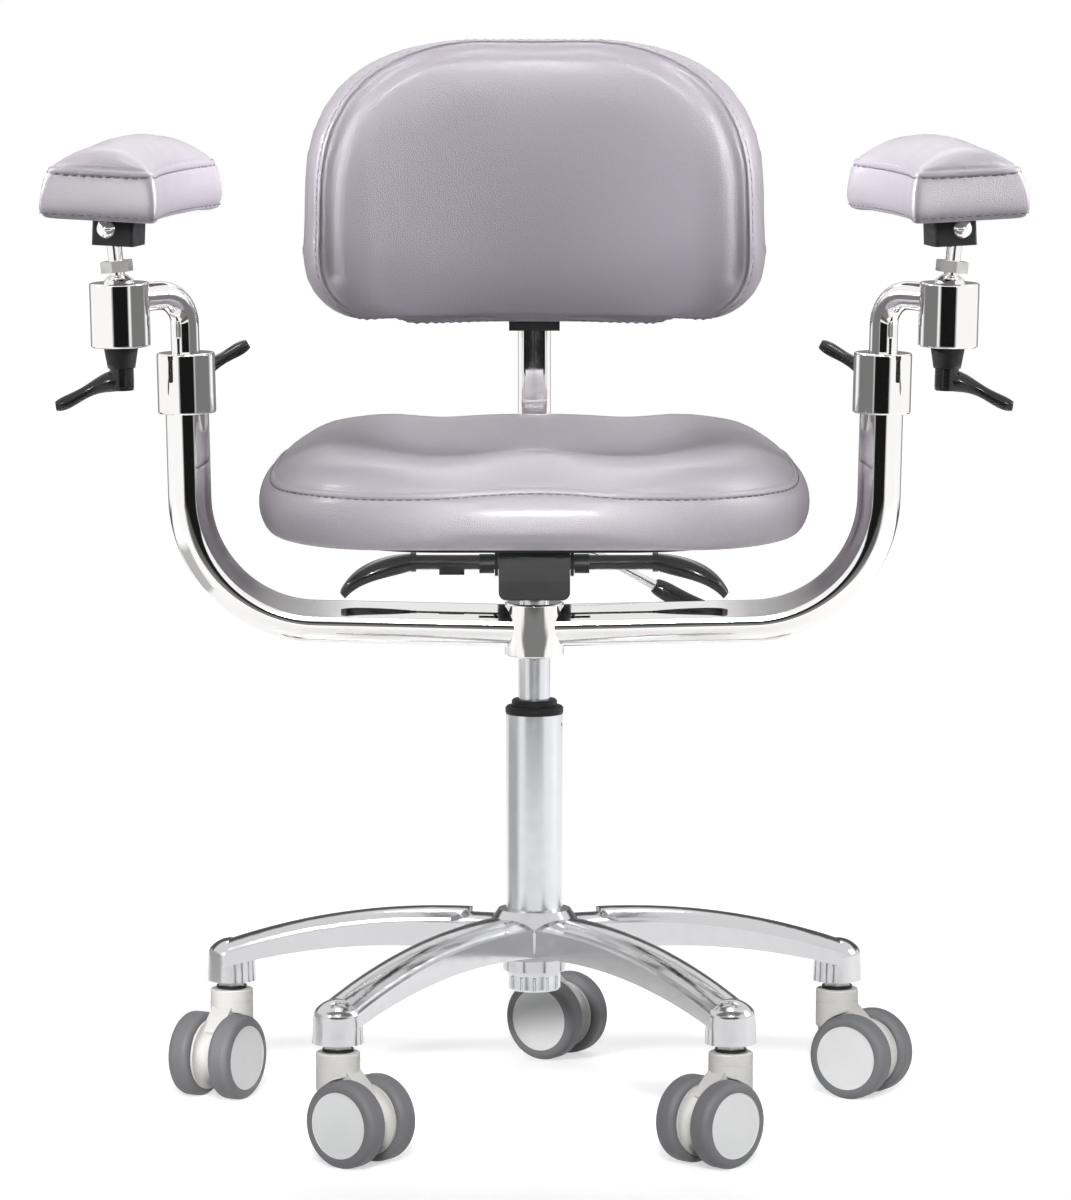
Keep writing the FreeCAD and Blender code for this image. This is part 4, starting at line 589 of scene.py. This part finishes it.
class Seam:
    """Closed line on a soft surface, with the directions along, out of and across it."""

    def __init__(self, surface, points, toward, step=2.0 * MM):
        count = int(loop_length(np.asarray(points)) / step)
        loop = evenly(np.asarray(points), count)
        for turn in range(2):
            loop = rolling_mean(loop, 1)
            loop = evenly(on_surface(surface, loop)[0], count)
        self.surface = surface
        self.loop, normals = on_surface(surface, loop)
        normals = rolling_mean(normals, 3)
        self.out = normals / np.linalg.norm(normals, axis=1)[:, None]
        along = np.roll(self.loop, -1, axis=0) - np.roll(self.loop, 1, axis=0)
        self.along = along / np.linalg.norm(along, axis=1)[:, None]
        across = np.cross(self.out, self.along)
        if (across @ np.array(toward)).mean() < 0:
            across = -across
        self.across = across / np.linalg.norm(across, axis=1)[:, None]

    def beside(self, distance):
        """The line moved across the surface, and laid on it again."""
        return on_surface(self.surface, self.loop + self.across * distance)[0]


def seam_strip(name, seam, profile, finish, shown):
    """Folded edge along a seam, from rows of (distance across, height over the surface).

    It sinks into the cover where its share shown is 0.
    """
    sunk = STRIP_SINK * (1 - shown)
    rows = [seam.beside(across) + seam.out * (height - sunk)[:, None] for across, height in profile]
    count = len(seam.loop)
    vertices = np.vstack(rows)
    faces = []
    for row in range(len(rows)):
        after = (row + 1) % len(rows)
        for step in range(count):
            ahead = (step + 1) % count
            faces.append((row * count + step, row * count + ahead,
                          after * count + ahead, after * count + step))
    piece = new_piece(name, vertices, faces, finish)
    outward(piece)
    return piece


def stitch_places(seam, distance):
    """Evenly spaced places of stitches, with their directions."""
    line = seam.beside(distance)
    count = int(round(loop_length(line) / STITCH_PITCH))
    share = np.linspace(0, len(line), count, endpoint=False).astype(int)
    return line[share], seam.along[share], seam.out[share], seam.across[share]


def stitches(name, seam, distance, thread):
    """Row of sewn stitches, each a short thread that dips in at both ends."""
    places, along, out, across = stitch_places(seam, distance)
    vertices = []
    faces = []
    sides = STITCH_SIDES
    for place, run, normal, aside in zip(places, along, out, across):
        first = len(vertices)
        for share, lift, size in STITCH_RINGS:
            centre = place + run * (share * STITCH_LENGTH) + normal * (lift * STITCH_RADIUS)
            for side in range(sides):
                turn = 2 * math.pi * side / sides
                spoke = aside * math.cos(turn) + normal * math.sin(turn)
                vertices.append(centre + spoke * (STITCH_RADIUS * size))
        for ring in range(len(STITCH_RINGS) - 1):
            low = first + ring * sides
            for side in range(sides):
                after = (side + 1) % sides
                faces.append((low + side, low + after, low + sides + after, low + sides + side))
        last = first + (len(STITCH_RINGS) - 1) * sides
        faces.append(tuple(first + side for side in reversed(range(sides))))
        faces.append(tuple(last + side for side in range(sides)))
    piece = new_piece(name, vertices, faces, thread)
    outward(piece)
    return piece


def press_in(mesh, points, depth, width):
    """Draws the skin in near a line or a row of points."""
    tree = nearest(points)
    places = read_points(mesh)
    normals = read_normals(mesh)
    for row in range(len(places)):
        found, index, away = tree.find(Vector(places[row]))
        if away < 3 * width:
            places[row] -= normals[row] * (depth * math.exp(-(away / width) ** 2))
    write_points(mesh, places)


# Soft pieces

def seat_loop(surface):
    """The seam between the seat's top panel and its side band."""
    points = []
    for step in range(360):
        angle = math.radians(step)
        away = Vector((math.cos(angle), math.sin(angle), 0))
        forward = -away.y
        middle = math.exp(-(away.x * SEAT_HALF / SEAT_SEAM_SPREAD) ** 2) if forward > 0 else 0.0
        rise = SEAT_SEAM_RISE * (1 - ramp(forward, *SEAT_SEAM_TURN))
        height = SEAT_SEAM_SIDE + (SEAT_SEAM_FRONT - SEAT_SEAM_SIDE) * middle + rise
        start = SEAT_CENTRE + away * SEAT_OUTSIDE + UP * height
        place, normal, face, distance = surface.ray_cast(start, -away)
        if place:
            points.append(place)
    return np.array(points)


def back_edge(share):
    """Edge of the back's front panel at a share from its widest line to an end."""
    height = BACK_TOP - BACK_BOTTOM
    widest = BACK_BOTTOM + BACK_WIDEST * height
    if share < 0:
        z = widest + share * (widest - BACK_BOTTOM)
        power, edge_power = BACK_LOWER_POWERS
    else:
        z = widest + share * (BACK_TOP - widest)
        power, edge_power = BACK_UPPER_POWERS
    half = BACK_HALF * (1 - abs(share) ** power) ** (1 / power)
    fullness = math.sqrt(1 - abs(share) ** edge_power)
    thickness = BACK_THICKNESS * fullness
    rear = BACK_REAR_Y - (BACK_THICKNESS - thickness) / 2
    seam_half = half - BACK_TUCK * fullness
    drop = BACK_WRAP - math.sqrt(BACK_WRAP ** 2 - seam_half ** 2)
    return Vector((seam_half, rear - drop - thickness + BACK_CROWN * fullness, z))


def back_loop():
    shares = [math.sin(math.radians(angle)) for angle in range(-82, 85, 2)]
    right = [back_edge(share) for share in shares]
    left = [Vector((-point.x, point.y, point.z)) for point in reversed(right)]
    return np.array([tuple(point) for point in right + left])


def pad_place(side):
    """Matrix from the pad's own frame to the chair, mirrored for the right side."""
    place = (Matrix.Translation(BALL) @ Matrix.Rotation(PAD_YAW, 4, "Z")
             @ Matrix.Translation(PAD_BOLT) @ Matrix.Rotation(PAD_ROLL, 4, "Y")
             @ Matrix.Translation(-PAD_BOLT))
    if side == "right":
        return Matrix.Scale(-1, 4, (1, 0, 0)) @ place
    return place


def pad_loop(surface, side, height):
    place = pad_place(side)
    centre = place @ Vector((PAD_OFFSET, 0, height))
    points = []
    for step in range(240):
        angle = math.radians(1.5 * step)
        away = (place.to_3x3() @ Vector((math.cos(angle), math.sin(angle), 0))).normalized()
        found, normal, face, distance = surface.ray_cast(centre + away * PAD_OUTSIDE, -away)
        if found:
            points.append(found)
    return np.array(points)


def hold(piece, lines, extra):
    """Vertex group that keeps the seams, and what rests on a board, in place."""
    tree = nearest(np.vstack(lines))
    held = []
    for vertex in piece.data.vertices:
        found, index, away = tree.find(vertex.co)
        if away < SEAM_HOLD or extra(vertex):
            held.append(vertex.index)
    group = piece.vertex_groups.new(name="held")
    group.add(held, 1.0, "REPLACE")


def smoothed(mesh, values):
    """Values of the vertices, evened out over their neighbours."""
    edges = np.empty(len(mesh.edges) * 2, dtype=np.int32)
    mesh.edges.foreach_get("vertices", edges)
    one, other = edges.reshape(-1, 2).T
    count = np.bincount(edges, minlength=len(values))[:, None]
    for turn in range(EASE_TURNS):
        total = np.zeros_like(values)
        np.add.at(total, one, values[other])
        np.add.at(total, other, values[one])
        values = (values + total / count) / 2
    return values


def swell(pieces):
    """Air pressure in the covers for a few frames, with a cap on how far they move."""
    scene = bpy.context.scene
    before = [read_points(piece.data) for piece in pieces]
    for piece in pieces:
        cloth = piece.modifiers.new("air", "CLOTH")
        cloth.settings.quality = 4
        cloth.settings.mass = CLOTH_MASS
        cloth.settings.tension_stiffness = CLOTH_STIFFNESS
        cloth.settings.compression_stiffness = CLOTH_STIFFNESS
        cloth.settings.bending_stiffness = CLOTH_BENDING
        cloth.settings.use_pressure = True
        cloth.settings.uniform_pressure_force = AIR_PRESSURE
        cloth.settings.effector_weights.gravity = 0
        cloth.settings.vertex_group_mass = "held"
        cloth.collision_settings.use_collision = False
        cloth.point_cache.frame_start = 1
        cloth.point_cache.frame_end = AIR_FRAMES
    for step in range(1, AIR_FRAMES + 1):
        scene.frame_set(step)
    graph = bpy.context.evaluated_depsgraph_get()
    for piece, start in zip(pieces, before):
        end = read_points(piece.evaluated_get(graph).data)
        moved = end - start
        distance = np.linalg.norm(moved, axis=1)
        capped = SWELL_CAP * np.tanh(distance / SWELL_CAP)
        scale = np.where(distance > 1e-9, capped / np.maximum(distance, 1e-9), 0.0)
        piece.modifiers.clear()
        piece.vertex_groups.clear()
        write_points(piece.data, start + smoothed(piece.data, moved * scale[:, None]))
    scene.frame_set(1)


def finish_skin(piece):
    """One subdivision of the swollen cover."""
    ease = piece.modifiers.new("ease", "SMOOTH")
    ease.factor = 0.5
    ease.iterations = 2
    fine = piece.modifiers.new("fine", "SUBSURF")
    fine.levels = 1
    fine.render_levels = 1
    bpy.context.view_layer.update()
    bake_modifiers(piece)
    piece.data.shade_smooth()
    piece.data.materials.clear()
    piece.data.materials.append(FINISHES["upholstery"])


def fill_seat(cover):
    """A little more foam in the middle of the rear rim and along the sides."""
    points = read_points(cover.data)
    x, y, z = points.T
    above = ramp(z, SEAT_SEAM_SIDE, SEAT_SEAM_SIDE + SEAT_FILL_RISE)
    middle = np.exp(-(x / SEAT_FILL_SPREAD) ** 2) * ramp(y, *SEAT_FILL_REAR)
    sides = ramp(abs(x), *SEAT_FILL_SIDE)
    points[:, 2] += SEAT_FILL * above * np.maximum(middle, sides)
    write_points(cover.data, points)


def fill_back(cover):
    """A little more foam along the bottom of the back."""
    points = read_points(cover.data)
    above = ramp(points[:, 2], BACK_BOTTOM, BACK_BOTTOM + BACK_FILL_RISE)
    points[:, 2] -= BACK_FILL * (1 - above)
    write_points(cover.data, points)


def flare_pad(cover, side):
    """The pad's side band a little wider at its foot than at the seam."""
    place = np.array(pad_place(side))
    back = np.linalg.inv(place)
    points = read_points(cover.data) @ back[:3, :3].T + back[:3, 3]
    foot = PAD_FLARE * (1 - ramp(points[:, 2], PAD_LOW_SEAM, PAD_SEAM))
    points[:, 0] += foot * np.clip((points[:, 0] - PAD_OFFSET) / PAD_FLARE_ACROSS, -1, 1)
    points[:, 1] += foot * np.clip(points[:, 1] / PAD_FLARE_ALONG, -1, 1)
    write_points(cover.data, points @ place[:3, :3].T + place[:3, 3])


def make_upholstery():
    seat = voxel_copy(["seat_cushion"], "seat_cover", SEAT_VOXEL)
    fill_seat(seat)
    back = voxel_copy(["back_cushion", "back_board"], "back_cover", BACK_VOXEL)
    fill_back(back)
    pads = {side: voxel_copy(["arm_pad_" + side], "pad_cover_" + side, PAD_VOXEL)
            for side in ("left", "right")}
    for side, pad in pads.items():
        flare_pad(pad, side)

    seat_line = seat_loop(surface_of(seat))
    hold(seat, [seat_line], lambda vertex: vertex.co.z < SEAT_BOARD_TOP and vertex.normal.z < -0.3)
    back_line = back_loop()
    hold(back, [back_line], lambda vertex: vertex.normal.y > 0.5)
    pad_lines = {}
    for side, pad in pads.items():
        surface = surface_of(pad)
        pad_lines[side] = [pad_loop(surface, side, height) for height in (PAD_SEAM, PAD_LOW_SEAM)]
        hold(pad, pad_lines[side], lambda vertex: vertex.normal.z < -0.5)

    covers = [seat, back, *pads.values()]
    swell(covers)
    for cover in covers:
        finish_skin(cover)

    crease = Seam(surface_of(back), back_line, (0, 1, 0)).beside(BACK_CREASE)
    press_in(back.data, crease[crease[:, 2] > BACK_BOTTOM + BACK_CREASE_RISE], *BACK_CREASE_DRAW)
    sew(seat, "seat", [seat_line], (0, 0, -1), "seat", "thread_with_painted_shade")
    sew(back, "back", [back_line], (0, 1, 0), "back_rest", "pale_thread")
    for side, pad in pads.items():
        sew(pad, "pad_" + side, pad_lines[side], (0, 0, -1), "pad_" + side, "thread_with_painted_shade")

    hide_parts("seat_cushion")
    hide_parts("back_cushion", "back_board")
    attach(seat, "seat")
    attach(back, "back_rest")
    for side, pad in pads.items():
        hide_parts("arm_pad_" + side)
        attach(pad, "pad_" + side)


def sew(cover, name, lines, toward, body, thread):
    """Stitches along each line, the folded edge at the first, and the hollows that they draw in."""
    made = []
    for number, line in enumerate(lines, 1):
        seam = Seam(surface_of(cover), line, toward)
        stitch_row = STITCH_ROW if number == 1 else 0.0
        label = name if number == 1 else name + "_lower"
        places = stitch_places(seam, stitch_row)[0]
        if number == 1:
            shown = np.ones(len(seam.loop))
            if name == "back":
                shown = ramp(seam.loop[:, 2], BACK_BOTTOM, BACK_BOTTOM + BACK_STRIP_RISE)
            made.append(seam_strip(label + "_seam", seam, FOLD, "upholstery", shown))
        made.append(stitches(label + "_stitches", seam, stitch_row, thread))
        if number == 1:
            press_in(cover.data, seam.beside(GROOVE_ROW), *GROOVE_DRAW)
        press_in(cover.data, seam.beside(stitch_row), *ROW_DRAW)
        press_in(cover.data, places, *STITCH_DRAW)
    for piece in made:
        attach(piece, body)


# Studio

def ray_kinds(tree):
    """1 for rays that see the background: from the camera, mirrored or passed through."""
    path = tree.nodes.new("ShaderNodeLightPath")
    total = path.outputs["Is Camera Ray"]
    for kind in ("Is Glossy Ray", "Is Transmission Ray"):
        both = tree.nodes.new("ShaderNodeMath")
        both.operation = "MAXIMUM"
        tree.links.new(total, both.inputs[0])
        tree.links.new(path.outputs[kind], both.inputs[1])
        total = both.outputs[0]
    return total


def make_world():
    world = bpy.data.worlds.new("studio")
    bpy.context.scene.world = world
    world.use_nodes = True
    tree = world.node_tree
    tree.nodes.clear()
    ambient = tree.nodes.new("ShaderNodeBackground")
    ambient.inputs["Color"].default_value = (0.96, 0.98, 1.0, 1.0)
    ambient.inputs["Strength"].default_value = AMBIENT
    white = tree.nodes.new("ShaderNodeBackground")
    white.inputs["Strength"].default_value = 1.0
    white.inputs["Color"].default_value = (1.0, 1.0, 1.0, 1.0)
    mix = tree.nodes.new("ShaderNodeMixShader")
    out = tree.nodes.new("ShaderNodeOutputWorld")
    tree.links.new(ray_kinds(tree), mix.inputs["Fac"])
    tree.links.new(ambient.outputs[0], mix.inputs[1])
    tree.links.new(white.outputs[0], mix.inputs[2])
    tree.links.new(mix.outputs[0], out.inputs["Surface"])


def make_floor():
    half = FLOOR_HALF
    corners = [(-half, -half, 0), (half, -half, 0), (half, half, 0), (-half, half, 0)]
    floor = new_piece("floor", corners, [(0, 1, 2, 3)], None)
    material = bpy.data.materials.new("studio_floor")
    material.use_nodes = True
    tree = material.node_tree
    tree.nodes.clear()
    paper = tree.nodes.new("ShaderNodeBsdfDiffuse")
    paper.inputs["Color"].default_value = (FLOOR_GREY, FLOOR_GREY, FLOOR_GREY, 1.0)
    glow = tree.nodes.new("ShaderNodeEmission")
    add = tree.nodes.new("ShaderNodeAddShader")
    out = tree.nodes.new("ShaderNodeOutputMaterial")
    place = tree.nodes.new("ShaderNodeNewGeometry")
    away = tree.nodes.new("ShaderNodeVectorMath")
    away.operation = "LENGTH"
    tree.links.new(place.outputs["Position"], away.inputs[0])
    fade = tree.nodes.new("ShaderNodeMapRange")
    fade.interpolation_type = "SMOOTHSTEP"
    for socket, value in zip(("From Min", "From Max", "To Min", "To Max"), FLOOR_FADE):
        fade.inputs[socket].default_value = value
    tree.links.new(away.outputs["Value"], fade.inputs["Value"])
    level = tree.nodes.new("ShaderNodeMath")
    level.operation = "MULTIPLY"
    tree.links.new(ray_kinds(tree), level.inputs[0])
    tree.links.new(fade.outputs["Result"], level.inputs[1])
    tree.links.new(level.outputs[0], glow.inputs["Strength"])
    tree.links.new(paper.outputs[0], add.inputs[0])
    tree.links.new(glow.outputs[0], add.inputs[1])
    tree.links.new(add.outputs[0], out.inputs["Surface"])
    floor.data.materials.append(material)


def lamp(name, place, target, width, height, power, spread):
    """Soft box, with a grid on its front where the spread is narrow."""
    data = bpy.data.lights.new(name, "AREA")
    data.shape = "RECTANGLE"
    data.size = width
    data.size_y = height
    data.energy = power
    data.spread = math.radians(spread)
    made = bpy.data.objects.new(name, data)
    bpy.context.collection.objects.link(made)
    made.location = place
    aim = Vector(target) - Vector(place)
    made.rotation_euler = aim.to_track_quat("-Z", "Y").to_euler()
    return made


def card(name, corner, across, up, grey):
    """Flat card with soft edges that only mirrors see, as a studio puts beside shiny metal."""
    steps = (0.0, CARD_EDGE, 1 - CARD_EDGE, 1.0)
    vertices = []
    levels = []
    for row in steps:
        for step in steps:
            vertices.append(Vector(corner) + Vector(across) * step + Vector(up) * row)
            levels.append(float(0 < row < 1 and 0 < step < 1))
    faces = [(4 * row + step, 4 * row + step + 1, 4 * row + step + 5, 4 * row + step + 4)
             for row in range(3) for step in range(3)]
    made = new_piece(name, vertices, faces, None)
    made.data.attributes.new("cover", "FLOAT", "POINT").data.foreach_set("value", levels)
    material = bpy.data.materials.new(name)
    material.use_nodes = True
    tree = material.node_tree
    tree.nodes.clear()
    cover = tree.nodes.new("ShaderNodeAttribute")
    cover.attribute_name = "cover"
    clear = tree.nodes.new("ShaderNodeBsdfTransparent")
    glow = tree.nodes.new("ShaderNodeEmission")
    glow.inputs["Color"].default_value = (grey, grey, grey, 1.0)
    mix = tree.nodes.new("ShaderNodeMixShader")
    out = tree.nodes.new("ShaderNodeOutputMaterial")
    tree.links.new(cover.outputs["Fac"], mix.inputs["Fac"])
    tree.links.new(clear.outputs[0], mix.inputs[1])
    tree.links.new(glow.outputs[0], mix.inputs[2])
    tree.links.new(mix.outputs[0], out.inputs["Surface"])
    made.data.materials.append(material)
    made.visible_camera = False
    made.visible_diffuse = False
    made.visible_transmission = False
    made.visible_shadow = False


def make_studio():
    make_world()
    make_floor()
    for values in LAMPS:
        lamp(*values)
    lamp(*REAR_LAMP).visible_glossy = False
    for values in CARDS:
        card(*values)


def make_camera():
    data = bpy.data.cameras.new("photo_camera")
    data.sensor_fit = "VERTICAL"
    data.sensor_height = CAMERA_SENSOR
    data.lens = CAMERA_LENS
    data.clip_end = CAMERA_FAR
    camera = bpy.data.objects.new("photo_camera", data)
    bpy.context.collection.objects.link(camera)
    camera.location = CAMERA_PLACE
    camera.rotation_euler = (math.radians(CAMERA_TILT), 0, 0)
    bpy.context.scene.camera = camera


bpy.context.scene.view_settings.view_transform = "Standard"
dress_nodes()
dress_wheels()
dress_levers()
dress_nuts()
make_upholstery()
make_studio()
make_camera()

bpy.context.view_layer.update()
